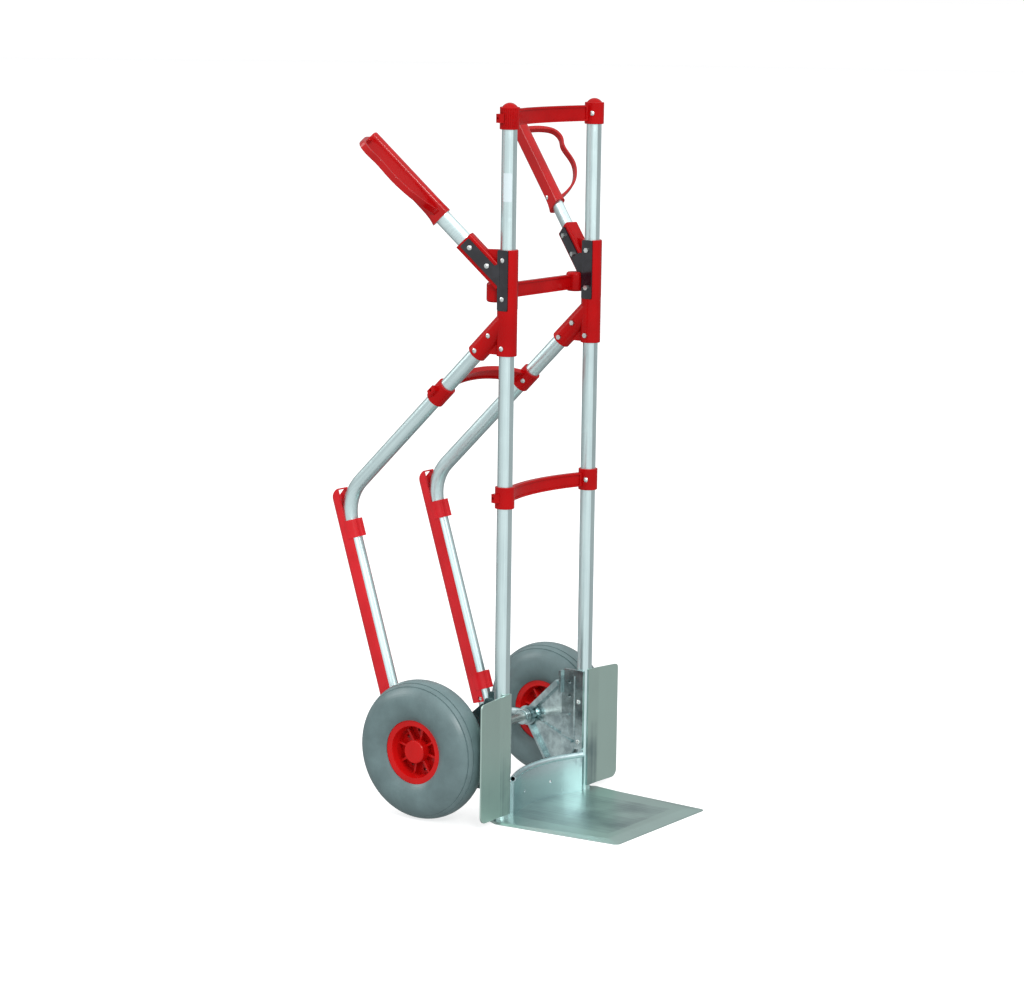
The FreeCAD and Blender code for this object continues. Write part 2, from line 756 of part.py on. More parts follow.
# ---------------------------------------------------------------- middle crossbar
knuckle_x = upright_half_spacing - knuckle_inset
knuckle = Part.makeCylinder(
    knuckle_radius, knuckle_height, Vector(knuckle_x, knuckle_back, middle_bar_z - knuckle_height / 2)
)
knuckle = knuckle.makeFillet(knuckle_round, [knuckle.Edges[0], knuckle.Edges[2]])
middle_half = bar_height / 2
middle_bar = block(
    Vector(-knuckle_x, knuckle_back - bar_thickness / 2, middle_bar_z - middle_half),
    Vector(knuckle_x, knuckle_back + bar_thickness / 2, middle_bar_z + middle_half),
)
groove_x = knuckle_x - knuckle_radius - 3
groove_half = middle_half - bar_flange
groove_floor_y = knuckle_back - bar_thickness / 2 + bar_groove_depth
middle_groove = block(
    Vector(-groove_x, knuckle_back - bar_thickness, middle_bar_z - groove_half),
    Vector(groove_x, groove_floor_y, middle_bar_z + groove_half),
)
middle_crossbar = fused([middle_bar.cut(middle_groove), knuckle, mirrored(knuckle)])
obstacles = [side_bracket, gusset_inner] + gusset_nut_parts + gusset_bolt_parts
for obstacle in obstacles:
    middle_crossbar = middle_crossbar.cut(obstacle).cut(mirrored(obstacle))
middle_crossbar = middle_crossbar.cut(both_uprights)
knuckle_centre = Vector(knuckle_x, knuckle_back, middle_bar_z)
middle_pin_dir = (Vector(upright_half_spacing, 0, middle_bar_z) - knuckle_centre).normalize()
middle_pin_seat = knuckle_centre - middle_pin_dir * (knuckle_radius - seat_depth)
middle_pin_length = knuckle_back + knuckle_radius - sleeve_radius + 3
middle_screw = bolt(middle_pin_seat, middle_pin_dir, middle_pin_length, 0)
middle_hole = shank_hole(middle_pin_seat, middle_pin_dir, middle_pin_length + 0.5)
middle_seat = seat_cut(middle_pin_seat, middle_pin_dir)
middle_cut = group([middle_hole, middle_seat, mirrored(middle_hole), mirrored(middle_seat)])
middle_crossbar = middle_crossbar.cut(middle_cut)
side_bracket = side_bracket.cut(middle_hole)

# ---------------------------------------------------------------- grip and hand guard
grip_half_e = grip_width / 2
grip_half_n = grip_thickness / 2
heel_top = grip_start + heel_length
grip_body = rounded_bar(
    -grip_half_n, grip_half_n, -grip_half_e, grip_half_e, grip_edge_round, heel_top, grip_end
)
grip_rounding = [edge for edge in grip_body.Edges if edge.BoundBox.ZMin > grip_end - end_gap]
grip_body = grip_body.makeFillet(grip_end_round, grip_rounding)


def grip_outline(grow, heel, height):
    """Section of the grip: a rounded bar, wider all round by one amount and at its heel by another."""
    half = grip_half_n + grow
    front = -grip_half_e - grow / 2
    rear = grip_half_e + heel
    corners = [(-half, front), (half, front), (half, rear), (-half, rear)]
    return rounded_wire(corners, [grip_edge_round] * 4, height)


heel = Part.makeLoft(
    [
        grip_outline(heel_grow, heel_reach, grip_start),
        grip_outline(heel_grow * 0.5, heel_reach * 0.42, grip_start + heel_length * 0.3),
        grip_outline(heel_grow * 0.1, heel_reach * 0.08, grip_start + heel_length * 0.7),
        grip_outline(0, 0, heel_top),
    ],
    True,
)
grip = placed(fused([grip_body, heel]), handle_frame)
grip_solid = grip.copy()
screw_seat = grip_screw_point - handle_normal * (grip_half_n - seat_depth)
grip = grip.cut(handle_core())
grip = grip.cut(seat_cut(screw_seat, handle_normal))
grip = grip.cut(shank_hole(screw_seat, handle_normal, 12))
grip_screw = bolt(screw_seat, handle_normal, grip_screw_length, 0)


def guard_edge(sign):
    """Points of the guard strap on one side of its centre line."""
    points = []
    last = len(guard_points) - 1
    for index in range(len(guard_points)):
        along, out, thick = guard_points[index]
        before = guard_points[max(index - 1, 0)]
        after = guard_points[min(index + 1, last)]
        run = Vector(after[1] - before[1], 0, after[0] - before[0]).normalize()
        side = Vector(run.z, 0, -run.x)
        centre = Vector(out, -guard_width / 2, along)
        points.append(centre + side * (sign * thick / 2))
    return points


outer_points = guard_edge(1)
inner_points = guard_edge(-1)
outer_curve = Part.BSplineCurve()
outer_curve.interpolate(outer_points)
inner_curve = Part.BSplineCurve()
inner_curve.interpolate(inner_points)
guard_outline = Part.Wire([
    outer_curve.toShape(),
    Part.makeLine(outer_points[-1], inner_points[-1]),
    inner_curve.toShape(),
    Part.makeLine(inner_points[0], outer_points[0]),
])
hand_guard = Part.Face(guard_outline).extrude(Vector(0, guard_width, 0))
guard_long_edges = [edge for edge in hand_guard.Edges if edge.Length > 150]
hand_guard = hand_guard.makeFillet(guard_round, guard_long_edges)
hand_guard = placed(hand_guard, handle_frame).cut(grip_solid)

# ---------------------------------------------------------------- skid strip
strip_half = tube_radius + strip_wall
strip_top = -strip_top_reach
strip_bottom = skid_length - strip_bottom_gap


def channel_section(half, front, rear, low, high):
    """Bar along local z: straight sides, a round back at the rear and a flat front."""
    back = Part.makeCylinder(half, high - low, Vector(0, -rear, low))
    sides = block(Vector(-half, -rear, low), Vector(half, front, high))
    return fused([back, sides])


strip_round = Part.makeCylinder(strip_half, strip_bottom - strip_top, Vector(0, 0, strip_top))
strip_body = fused([
    channel_section(strip_half, 0, strip_depth, strip_top, strip_bottom),
    strip_round.cut(block(Vector(-40, strip_lip, strip_top - 1), Vector(40, 60, strip_bottom + 1))),
])
crown_centre = Vector(-cut_reach, strip_crown - strip_half - strip_depth, strip_top + strip_crown)
crown = Part.makeCylinder(strip_crown, 2 * cut_reach, crown_centre, X_AXIS)
crown_zone = block(
    Vector(-cut_reach, -2 * cut_reach, strip_top - end_gap), Vector(cut_reach, 2 * cut_reach, crown_centre.z)
)
strip_body = strip_body.cut(crown_zone.cut(crown))
hollow_half = tube_radius - strip_wall
hollow = channel_section(hollow_half, 0, strip_depth, strip_top + 2 * strip_wall, strip_bottom + 1)
strip_body = strip_body.cut(hollow)
open_front = block(Vector(-40, -strip_wall, strip_top - 5), Vector(40, 60, clip_offsets[0] - clip_height / 2))
strip_body = strip_body.cut(open_front)
clip_pieces = []
for offset in clip_offsets:
    low = offset - clip_height / 2
    high = offset + clip_height / 2
    ring = Part.makeCylinder(tube_radius + clip_wall, clip_height, Vector(0, 0, low))
    nose = rounded_bar(-clip_nose_width / 2, clip_nose_width / 2, 0, clip_nose_reach, 3, low, high)
    clip_pieces.extend([ring, nose])
strip_body = fused([strip_body] + clip_pieces)
skid_strip = placed(strip_body, skid_frame).cut(skid_core)

# ---------------------------------------------------------------- toe plate
rear_edge_y = tube_radius + 2
toe_outline = [
    (-toe_front_half_width, -toe_length),
    (toe_front_half_width, -toe_length),
    (toe_rear_half_width, upright_front_y),
    (toe_rear_half_width - 14, rear_edge_y),
    (toe_rear_half_width - 60, wall_mid_y + 4),
    (60 - toe_rear_half_width, wall_mid_y + 4),
    (14 - toe_rear_half_width, rear_edge_y),
    (-toe_rear_half_width, upright_front_y),
]
toe_radii = [plate_corner_radius, plate_corner_radius, 4, 4, 20, 20, 4, 4]
inner_front = -toe_length + plate_front_bevel
side_slope = (toe_rear_half_width - toe_front_half_width) / (toe_length + upright_front_y)
inner_front_x = toe_front_half_width + side_slope * plate_front_bevel - plate_side_bevel
panel_outline = [
    (-inner_front_x, inner_front),
    (inner_front_x, inner_front),
    (toe_rear_half_width - 3, upright_front_y),
    (toe_rear_half_width - 15, rear_edge_y - 1),
    (toe_rear_half_width - 61, wall_mid_y + 3),
    (61 - toe_rear_half_width, wall_mid_y + 3),
    (15 - toe_rear_half_width, rear_edge_y - 1),
    (3 - toe_rear_half_width, upright_front_y),
]
low_slab = rounded_prism(toe_outline, toe_radii, 0, plate_edge_thickness)
bevel = Part.makeLoft(
    [
        rounded_wire(toe_outline, toe_radii, plate_edge_thickness),
        rounded_wire(panel_outline, toe_radii, plate_thickness),
    ],
    True,
    True,
)
toe_plate = fused([low_slab, bevel])

# ---------------------------------------------------------------- rear wall and bead
wall_end_x = upright_half_spacing - wall_end_inset
wall_end_y = wall_mid_y - wall_bow
wall_knots = (
    (1.0, 1.0),
    (0.82, 0.68),
    (0.62, 0.38),
    (0.34, 0.11),
    (0.0, 0.0),
)


def wall_line(offset, height):
    """Bowed line of the rear wall, shifted square to itself, at one height."""
    half = []
    for across, drop in wall_knots:
        half.append(Vector(wall_end_x * across, wall_mid_y - wall_bow * drop, height))
    points = half + [Vector(-point.x, point.y, height) for point in reversed(half[:-1])]
    moved = []
    for index in range(len(points)):
        before = points[max(index - 1, 0)]
        after = points[min(index + 1, len(points) - 1)]
        run = (after - before).normalize()
        moved.append(points[index] + Vector(run.y, -run.x, 0) * offset)
    curve = Part.BSplineCurve()
    curve.interpolate(moved)
    return curve.toShape(), moved[0], moved[-1]


front_edge, front_start, front_end = wall_line(-wall_thickness / 2, plate_thickness)
back_edge, back_start, back_end = wall_line(wall_thickness / 2, plate_thickness)
wall_wire = Part.Wire([
    front_edge,
    Part.makeLine(front_end, back_end),
    back_edge,
    Part.makeLine(back_start, front_start),
])
toe_wall = Part.Face(wall_wire).extrude(Vector(0, 0, wall_height))
tab_end = Vector(upright_half_spacing - tube_radius + 4, upright_front_y + 4, plate_thickness)
tab_start = Vector(wall_end_x - 0.5, wall_end_y + 0.3, plate_thickness)
tab_run = (tab_end - tab_start).normalize()
tab_side = Vector(tab_run.y, -tab_run.x, 0) * (wall_thickness / 2)
tab = prism(
    [tab_start + tab_side, tab_end + tab_side, tab_end - tab_side, tab_start - tab_side],
    Vector(0, 0, wall_height),
)
toe_wall = fused([toe_wall, tab, mirrored(tab)]).cut(both_uprights)
bead_edge, bead_start, bead_end = wall_line(0, bead_z)
bead_run = bead_edge.tangentAt(bead_edge.FirstParameter)


def bead_sweep(radius):
    """Round bar swept along the top of the rear wall."""
    profile = Part.Wire([Part.makeCircle(radius, bead_start, bead_run)])
    return Part.Wire([bead_edge]).makePipeShell([profile], True, False)


bead_core = bead_sweep(bead_radius)
toe_bead = bead_core.cut(bead_sweep(bead_radius - bead_wall)).cut(both_uprights)
toe_wall = toe_wall.cut(bead_core)
for hole_x in (-wall_hole_x, wall_hole_x):
    start = Vector(hole_x, -cut_reach, wall_hole_z)
    toe_wall = toe_wall.cut(Part.makeCylinder(wall_hole_radius, 3 * cut_reach, start, Y_AXIS))

# ---------------------------------------------------------------- wings
wing_back_y = upright_front_y
wing_outline = [
    (wing_inner_x, wing_bottom_z),
    (wing_outer_x, wing_bottom_z),
    (wing_outer_x, wing_outer_top_z),
    (wing_inner_x, wing_inner_top_z),
]
wing_radii = [1, wing_foot_radius, wing_corner_radius, 1]
wing_blank = rounded_prism(wing_outline, wing_radii, -wing_thickness, 2 * wing_thickness + wing_fold_rise)
wing_blank = placed(wing_blank, frame_at(Vector(0, wing_back_y, 0), X_AXIS, Z_AXIS, Y_AXIS * -1))
wing_front_y = wing_back_y - wing_thickness
wing_plan = prism(
    [
        Vector(wing_inner_x, wing_back_y, 0),
        Vector(wing_fold_x, wing_back_y, 0),
        Vector(wing_outer_x, wing_back_y - wing_fold_rise, 0),
        Vector(wing_outer_x, wing_front_y - wing_fold_rise, 0),
        Vector(wing_fold_x, wing_front_y, 0),
        Vector(wing_inner_x, wing_front_y, 0),
    ],
    Vector(0, 0, truck_height),
)
wing_face = wing_blank.common(wing_plan)
rib_low_x = upright_half_spacing + tube_radius - 1.0
wing_rib = block(
    Vector(rib_low_x, wing_back_y - 1, wing_bottom_z + 8),
    Vector(rib_low_x + wing_rib_thickness, 10, wing_outer_top_z - 12),
)
side_wing = fused([wing_face, wing_rib]).cut(upright_core())

# ---------------------------------------------------------------- axle bracket
fan_turn = math.atan2(fan_hub_offset, axle_y - 20.0)
fan_run = Vector(math.sin(fan_turn), math.cos(fan_turn), 0)
fan_out = Vector(math.cos(fan_turn), -math.sin(fan_turn), 0)
flange_inner_x = upright_half_spacing - tube_radius + flange_bite - flange_thickness
fan_origin = Vector(flange_inner_x + 1.5, 20, 0)
fan_frame = frame_at(fan_origin, fan_run, Z_AXIS, fan_out)


def fan_point(y, z):
    """Point of the fan plate in its own plane from its world depth and height."""
    return Vector((y - 20.0) / math.cos(fan_turn), z, 0)


fan_corners = [
    fan_point(8, flange_top_z - 12),
    fan_point(flange_rear_y + 6, flange_top_z - 14),
    fan_point(flange_rear_y + 10, 212),
    fan_point(118, 150),
    fan_point(axle_y, wheel_radius),
    fan_point(121, 112),
    fan_point(76, fan_bottom_z),
    fan_point(24, fan_bottom_z),
    fan_point(8, flange_bottom_z + 4),
]
fan = prism(fan_corners, Vector(0, 0, fan_thickness))


def fan_rib(start, end, width, height):
    """Straight rib on the inner face of the fan between two points of its plane."""
    run = (end - start).normalize()
    side = Vector(-run.y, run.x, 0) * (width / 2)
    base = Vector(0, 0, 1)
    points = [start + side + base, end + side + base, end - side + base, start - side + base]
    return prism(points, Vector(0, 0, -height - 1))


hub_spot = fan_point(axle_y - 10, wheel_radius)
ribs = [
    fan_rib(fan_point(flange_rear_y + 10, 208), fan_point(117, 145), edge_rib_thickness, edge_rib_height),
    fan_rib(fan_point(120, 113), fan_point(77, fan_bottom_z + 4), rib_thickness, edge_rib_height),
    fan_rib(fan_point(19, 150), hub_spot, rib_thickness - 1, mid_rib_height),
    fan_rib(fan_point(12, 97), hub_spot, rib_thickness - 1, mid_rib_height),
]
fan_pieces = [placed(piece, fan_frame) for piece in [fan] + ribs]
flange_corners = [
    (flange_front_y, flange_bottom_z),
    (flange_rear_y, flange_bottom_z),
    (flange_rear_y, flange_top_z),
    (flange_front_y, flange_top_z),
]
flange = rounded_prism(flange_corners, [4, 4, 6, 2], 0, flange_thickness)
flange = placed(flange, frame_at(Vector(flange_inner_x, 0, 0), Y_AXIS, Z_AXIS, X_AXIS))
lip_low = Vector(flange_inner_x - 6, flange_rear_y - 1, 190)
lip_high = Vector(flange_inner_x + 3, flange_rear_y + 4, flange_top_z - 4)
lip = block(lip_low, lip_high)
hub = rod(hub_radius, Vector(hub_inner_x, axle_y, wheel_radius), Vector(hub_outer_x, axle_y, wheel_radius))
collar_start = Vector(hub_inner_x + 4, axle_y, wheel_radius)
hub_collar = rod(hub_collar_radius, collar_start, collar_start + X_AXIS * 4)
hub_sleeve = rod(hub_sleeve_radius, Vector(hub_sleeve_x, axle_y, wheel_radius), collar_start)
hub_rings = []
for ridge_inset in hub_ridge_insets:
    ridge_start = Vector(upright_half_spacing - ridge_inset, axle_y, wheel_radius)
    ridge = rod(hub_ridge_radius, ridge_start, ridge_start + X_AXIS * hub_ridge_width)
    hub_rings.append(ridge.makeFillet(hub_ridge_width * 0.4, [ridge.Edges[0], ridge.Edges[2]]))
stay_start = Vector(upright_half_spacing + 4, axle_y + 8, wheel_radius + 2)
stay_end = skid_foot + skid_dir * 6
stay = rod(stay_radius, stay_start, stay_end)
foot_disc = rod(tube_radius, skid_foot, skid_foot + skid_dir * 12)
foot_plug = rod(tube_bore, skid_foot, skid_foot - skid_dir * plug_length)
hub_pieces = hub_rings + [hub, hub_sleeve, hub_collar]
axle_bracket = fused(fan_pieces + hub_pieces + [flange, lip, stay, foot_disc, foot_plug])
axle_hole = rod(axle_radius, Vector(0, axle_y, wheel_radius), Vector(400, axle_y, wheel_radius))
axle_bracket = axle_bracket.cut(upright_core()).cut(axle_hole)
axle_bracket = axle_bracket.cut(shank_hole(foot_bolt_point - X_AXIS * 40, X_AXIS, 80))
for height in pattern_z:
    start = Vector(flange_inner_x - 10, pattern_y, height)
    axle_bracket = axle_bracket.cut(Part.makeCylinder(pattern_radius, 40, start, X_AXIS))
frame_bolts = []
frame_nuts = []
rib_outer_x = rib_low_x + wing_rib_thickness
for height in bracket_bolts_z:
    seat = Vector(flange_inner_x, 0, height)
    stack = rib_outer_x - flange_inner_x
    frame_bolts.append(bolt(seat, X_AXIS, stack, nut_height))
    frame_nuts.append(nut(Vector(rib_outer_x, 0, height), X_AXIS, nut_height))
    hole = shank_hole(seat - X_AXIS * 5, X_AXIS, stack + 15)
    axle_bracket = axle_bracket.cut(hole)
    side_wing = side_wing.cut(hole)
foot_seat = foot_bolt_point - X_AXIS * (tube_radius - seat_depth)
foot_stack = 2 * (tube_radius - seat_depth)
foot_cut = seat_cut(foot_seat, X_AXIS)
foot_nut_cut = nut_cut(foot_seat + X_AXIS * foot_stack, X_AXIS)
skid_tube = skid_tube.cut(foot_cut).cut(foot_nut_cut)
skid_strip = skid_strip.cut(foot_cut).cut(foot_nut_cut)
foot_bolts = [bolt(foot_seat, X_AXIS, foot_stack, nut_height)]
foot_nuts = [nut(foot_seat + X_AXIS * foot_stack, X_AXIS, nut_height)]

# ---------------------------------------------------------------- foot spigots of the toe plate
spigot_height = 46.0
spigot = d_column(tube_bore, upright_front_y + tube_wall, plate_thickness, plate_thickness + spigot_height)
spigot = spigot.translated(upright_axis)
rivet_point = Vector(upright_half_spacing, tube_radius - seat_depth, plate_thickness + 22)
rivet_length = tube_radius - seat_depth + 6
foot_rivet = bolt(rivet_point, Y_AXIS * -1, rivet_length, 0)
rivet_hole = shank_hole(rivet_point, Y_AXIS * -1, rivet_length + 1)
spigot = spigot.cut(rivet_hole)
upright = upright.cut(rivet_hole).cut(seat_cut(rivet_point, Y_AXIS * -1))

# ---------------------------------------------------------------- axle and its rings
axle_half = wheel_centre_x + axle_overrun
axle_reach = X_AXIS * axle_half
axle_shape = rod(axle_radius, axle_centre - axle_reach, axle_centre + axle_reach)


def washer(radius, bore, x_low, x_high):
    """Flat ring on the axle line."""
    body = rod(radius, Vector(x_low, axle_y, wheel_radius), Vector(x_high, axle_y, wheel_radius))
    hole = rod(bore, Vector(x_low - 1, axle_y, wheel_radius), Vector(x_high + 1, axle_y, wheel_radius))
    return body.cut(hole)


wheel_inner_x = wheel_centre_x - hub_inboard
wheel_outer_x = wheel_centre_x + hub_outboard
spacer = washer(spacer_radius, axle_radius, hub_outer_x, wheel_inner_x - axial_gap)
ring_start = wheel_outer_x + axial_gap
retaining_ring = washer(ring_washer_radius, axle_radius, ring_start, ring_start + ring_washer_thickness)

# ---------------------------------------------------------------- wheel, built about local x then moved


def turned(points):
    """Solid of revolution about the axle line from (axial, radius) pairs, at the wheel centre."""
    wire = Part.makePolygon([Vector(a, 0, r) for a, r in points + points[:1]])
    solid = Part.Face(wire).revolve(Vector(0, 0, 0), X_AXIS, 360)
    return solid.translated(Vector(wheel_centre_x, axle_y, wheel_radius))


section_radius = wheel_width / 2
tyre_ring_radius = wheel_radius - section_radius
hw = rim_half_width
rim_profile = [
    (-hw, rim_ring_inner),
    (-hw, rim_ring_radius),
    (-hw + 3, rim_ring_radius),
    (-hw + 6, rim_seat_radius + 2),
    (hw - 6, rim_seat_radius + 2),
    (hw - 3, rim_ring_radius),
    (hw, rim_ring_radius),
    (hw, rim_ring_inner),
    (hw - 2, rim_ring_inner - 1),
    (hw - 12, rim_seat_radius - rim_wall - 4),
    (-hw + 12, rim_seat_radius - rim_wall - 4),
    (-hw + 2, rim_ring_inner - 1),
]
rim_barrel = turned(rim_profile)
web_half = web_disc_thickness / 2
rim_web = turned([
    (-web_half, hub_tube_radius - 4),
    (-web_half, rim_seat_radius),
    (web_half, rim_seat_radius),
    (web_half, hub_tube_radius - 4),
])
hub_bore = axle_radius + 2
rim_hub = turned([
    (-hub_inboard, hub_bore),
    (-hub_inboard, hub_tube_radius),
    (hub_outboard, hub_tube_radius),
    (hub_outboard, hub_bore),
])
wheel_point = Vector(wheel_centre_x, axle_y, wheel_radius)
spokes = []
for index in range(spoke_count):
    turn = 360.0 / spoke_count * index + 12
    spoke = block(
        Vector(-spoke_reach, -spoke_thickness / 2, hub_tube_radius - 2),
        Vector(spoke_reach - 6, spoke_thickness / 2, rim_seat_radius - 2),
    )
    spoke.rotate(Vector(0, 0, 0), X_AXIS, turn)
    spokes.append(spoke.translated(wheel_point))
rim = fused([rim_barrel, rim_web, rim_hub] + spokes)
bearing_seats = []
bearing_rings = []
for low in (-hub_inboard, hub_outboard - bearing_length):
    high = low + bearing_length
    ring_points = [
        (low, axle_radius + running_clearance),
        (low, bearing_radius),
        (high, bearing_radius),
        (high, axle_radius + running_clearance),
    ]
    bearing_rings.append(turned(ring_points))
    bearing_seats.append(turned([(low, 1), (low, bearing_radius), (high, bearing_radius), (high, 1)]))
rim = rim.cut(bearing_seats[0]).cut(bearing_seats[1])
vent_spot = (rim_seat_radius + hub_tube_radius) / 2
for index in range(spoke_count):
    turn = math.radians(360.0 / spoke_count * (index + 0.5) + 12)
    spot = wheel_point + Vector(0, -math.sin(turn), math.cos(turn)) * vent_spot
    rim = rim.cut(Part.makeCylinder(3.2, 30, spot - X_AXIS * 15, X_AXIS))
torus = Part.makeTorus(tyre_ring_radius, section_radius, wheel_point, X_AXIS)
seat_profile = rim_profile[1:7] + [
    (wheel_width, rim_ring_radius),
    (wheel_width, axle_radius),
    (-wheel_width, axle_radius),
    (-wheel_width, rim_ring_radius),
]
tyre = torus.cut(turned(seat_profile))
for offset in tread_grooves:
    depth_radius = tyre_ring_radius + math.sqrt(section_radius ** 2 - offset ** 2) - tread_groove_depth
    half = tread_groove_width / 2
    tyre = tyre.cut(turned([
        (offset - half, depth_radius),
        (offset - half, wheel_radius + 4),
        (offset + half, wheel_radius + 4),
        (offset + half, depth_radius),
    ]))
cap_skirt = hub_outboard - 5
hub_cap = turned([
    (cap_skirt, hub_tube_radius),
    (cap_skirt, cap_radius),
    (cap_front - 1.5, cap_radius),
    (cap_front, cap_radius - 1.5),
    (cap_front, 0),
    (cap_front - cap_wall, 0),
    (cap_front - cap_wall, hub_tube_radius),
])
cap_sweep = [
    (cap_skirt, hub_tube_radius),
    (cap_skirt, cap_radius),
    (cap_front, cap_radius),
    (cap_front, hub_tube_radius),
]
rim = rim.cut(turned(cap_sweep))

# ---------------------------------------------------------------- files
single_nodes = {
    "top_crossbar": top_crossbar,
    "middle_crossbar": middle_crossbar,
    "lower_crossbar": lower_crossbar,
    "rear_crossbar": rear_crossbar,
    "crossbar_screws": crossbar_screws,
    "toe_plate": toe_plate,
    "toe_wall": toe_wall,
    "toe_bead": toe_bead,
    "axle": axle_shape,
}
sided_nodes = {
    "upright": upright,
    "end_plug": end_plug,
    "side_bracket": side_bracket,
    "gusset_outer": gusset_outer,
    "gusset_inner": gusset_inner,
    "handle_tube": handle_tube,
    "grip": grip,
    "hand_guard": hand_guard,
    "skid_tube": skid_tube,
    "skid_strip": skid_strip,
    "axle_bracket": axle_bracket,
    "side_wing": side_wing,
    "wheel_rim": rim,
    "tyre": tyre,
    "wheel_bearings": group(bearing_rings),
    "hub_cap": hub_cap,
}
paired_groups = {
    "gusset_bolts": group(gusset_bolt_parts),
    "gusset_nuts": group(gusset_nut_parts),
    "bracket_bolts": group(bracket_bolt_parts),
    "bracket_nuts": group(bracket_nut_parts),
    "middle_crossbar_screws": group([middle_screw]),
    "grip_screws": group([grip_screw]),
    "frame_bolts": group(frame_bolts),
    "frame_nuts": group(frame_nuts),
    "skid_foot_bolts": group(foot_bolts),
    "skid_foot_nuts": group(foot_nuts),
    "foot_spigots": group([spigot]),
    "foot_rivets": group([foot_rivet]),
    "axle_spacers": group([spacer]),
    "retaining_rings": group([retaining_ring]),
}

nodes = dict(single_nodes)
for name, shape in sided_nodes.items():
    nodes[name + "_right"] = mirrored(shape)
    nodes[name + "_left"] = shape
for name, shape in paired_groups.items():
    nodes[name] = group([shape, mirrored(shape)])

os.makedirs("parts", exist_ok=True)
for name, shape in nodes.items():
    shape.exportStep("parts/" + name + ".step")
    volume = round(shape.Volume / 1000, 2)
    print(name, len(shape.Solids), "solids", volume, "cm3", "valid" if shape.isValid() else "INVALID")
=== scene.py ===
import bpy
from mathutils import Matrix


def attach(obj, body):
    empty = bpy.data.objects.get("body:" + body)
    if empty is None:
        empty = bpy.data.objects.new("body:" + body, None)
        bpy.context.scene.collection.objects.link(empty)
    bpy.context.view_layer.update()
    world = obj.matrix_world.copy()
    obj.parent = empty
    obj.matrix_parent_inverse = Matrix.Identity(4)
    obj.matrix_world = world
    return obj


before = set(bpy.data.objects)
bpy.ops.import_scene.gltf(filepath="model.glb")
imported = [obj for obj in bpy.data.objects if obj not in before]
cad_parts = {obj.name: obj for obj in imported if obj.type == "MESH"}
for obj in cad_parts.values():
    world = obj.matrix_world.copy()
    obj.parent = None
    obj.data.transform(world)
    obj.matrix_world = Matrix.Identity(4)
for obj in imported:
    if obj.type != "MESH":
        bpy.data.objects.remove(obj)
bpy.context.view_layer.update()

import logging
import math
from dataclasses import dataclass, field
from enum import Enum
from typing import Any, Optional, Sequence, Union

import bpy
import numpy as np
from mathutils import Matrix, Vector

# Looks of a two-wheeled hand truck: a procedural finish for every built part, a blank label
# and a plain studio.

LOG = logging.getLogger("hand_truck")
SIDES = ("left", "right")
FRAME_BODY = "frame"
Colour = tuple[float, float, float]
Span = tuple[float, float]
Place = tuple[float, float, float]
WHITE = (1.0, 1.0, 1.0, 1.0)
BLACK = (0.0, 0.0, 0.0)


# ------------------------------------------------------------------------------------------ shader tools
class Signal:
    """A number that varies over a surface; arithmetic on it adds Math nodes."""

    def __init__(self, bench: "Bench", socket: bpy.types.NodeSocket) -> None:
        """Wraps one output socket of a bench's node tree."""
        self.bench = bench
        self.socket = socket

    def _math(self, operation: str, first: Any, second: Any) -> "Signal":
        """One Math node.

        Args:
            operation: Blender's name for the operation.
            first: left value, a Signal or a number.
            second: right value, a Signal or a number.

        Returns:
            The node's result.
        """
        return self.bench.out("ShaderNodeMath", {"operation": operation}, {0: first, 1: second})

    def __add__(self, other: Any) -> "Signal":
        """Sum."""
        return self._math("ADD", self, other)

    def __radd__(self, other: Any) -> "Signal":
        """Sum with the number first."""
        return self._math("ADD", other, self)

    def __sub__(self, other: Any) -> "Signal":
        """Difference."""
        return self._math("SUBTRACT", self, other)

    def __rsub__(self, other: Any) -> "Signal":
        """Difference with the number first."""
        return self._math("SUBTRACT", other, self)

    def __mul__(self, other: Any) -> "Signal":
        """Product."""
        return self._math("MULTIPLY", self, other)

    def __rmul__(self, other: Any) -> "Signal":
        """Product with the number first."""
        return self._math("MULTIPLY", other, self)

    def __pow__(self, other: Any) -> "Signal":
        """Power."""
        return self._math("POWER", self, other)

    def wave(self) -> "Signal":
        """Sine of the value, in radians."""
        return self._math("SINE", self, 0.0)

    def size(self) -> "Signal":
        """Value without its sign."""
        return self._math("ABSOLUTE", self, 0.0)

    def step(self, low: float, high: float) -> "Signal":
        """Smooth rise from 0 at one value to 1 at another.

        Args:
            low: value where the rise starts.
            high: value where it ends; below low the step falls instead.

        Returns:
            A share from 0 to 1.
        """
        flip = high < low
        ends = {1: high, 2: low, 3: 1.0, 4: 0.0} if flip else {1: low, 2: high, 3: 0.0, 4: 1.0}
        settings = {"interpolation_type": "SMOOTHSTEP"}
        return self.bench.out("ShaderNodeMapRange", settings, {0: self, **ends})


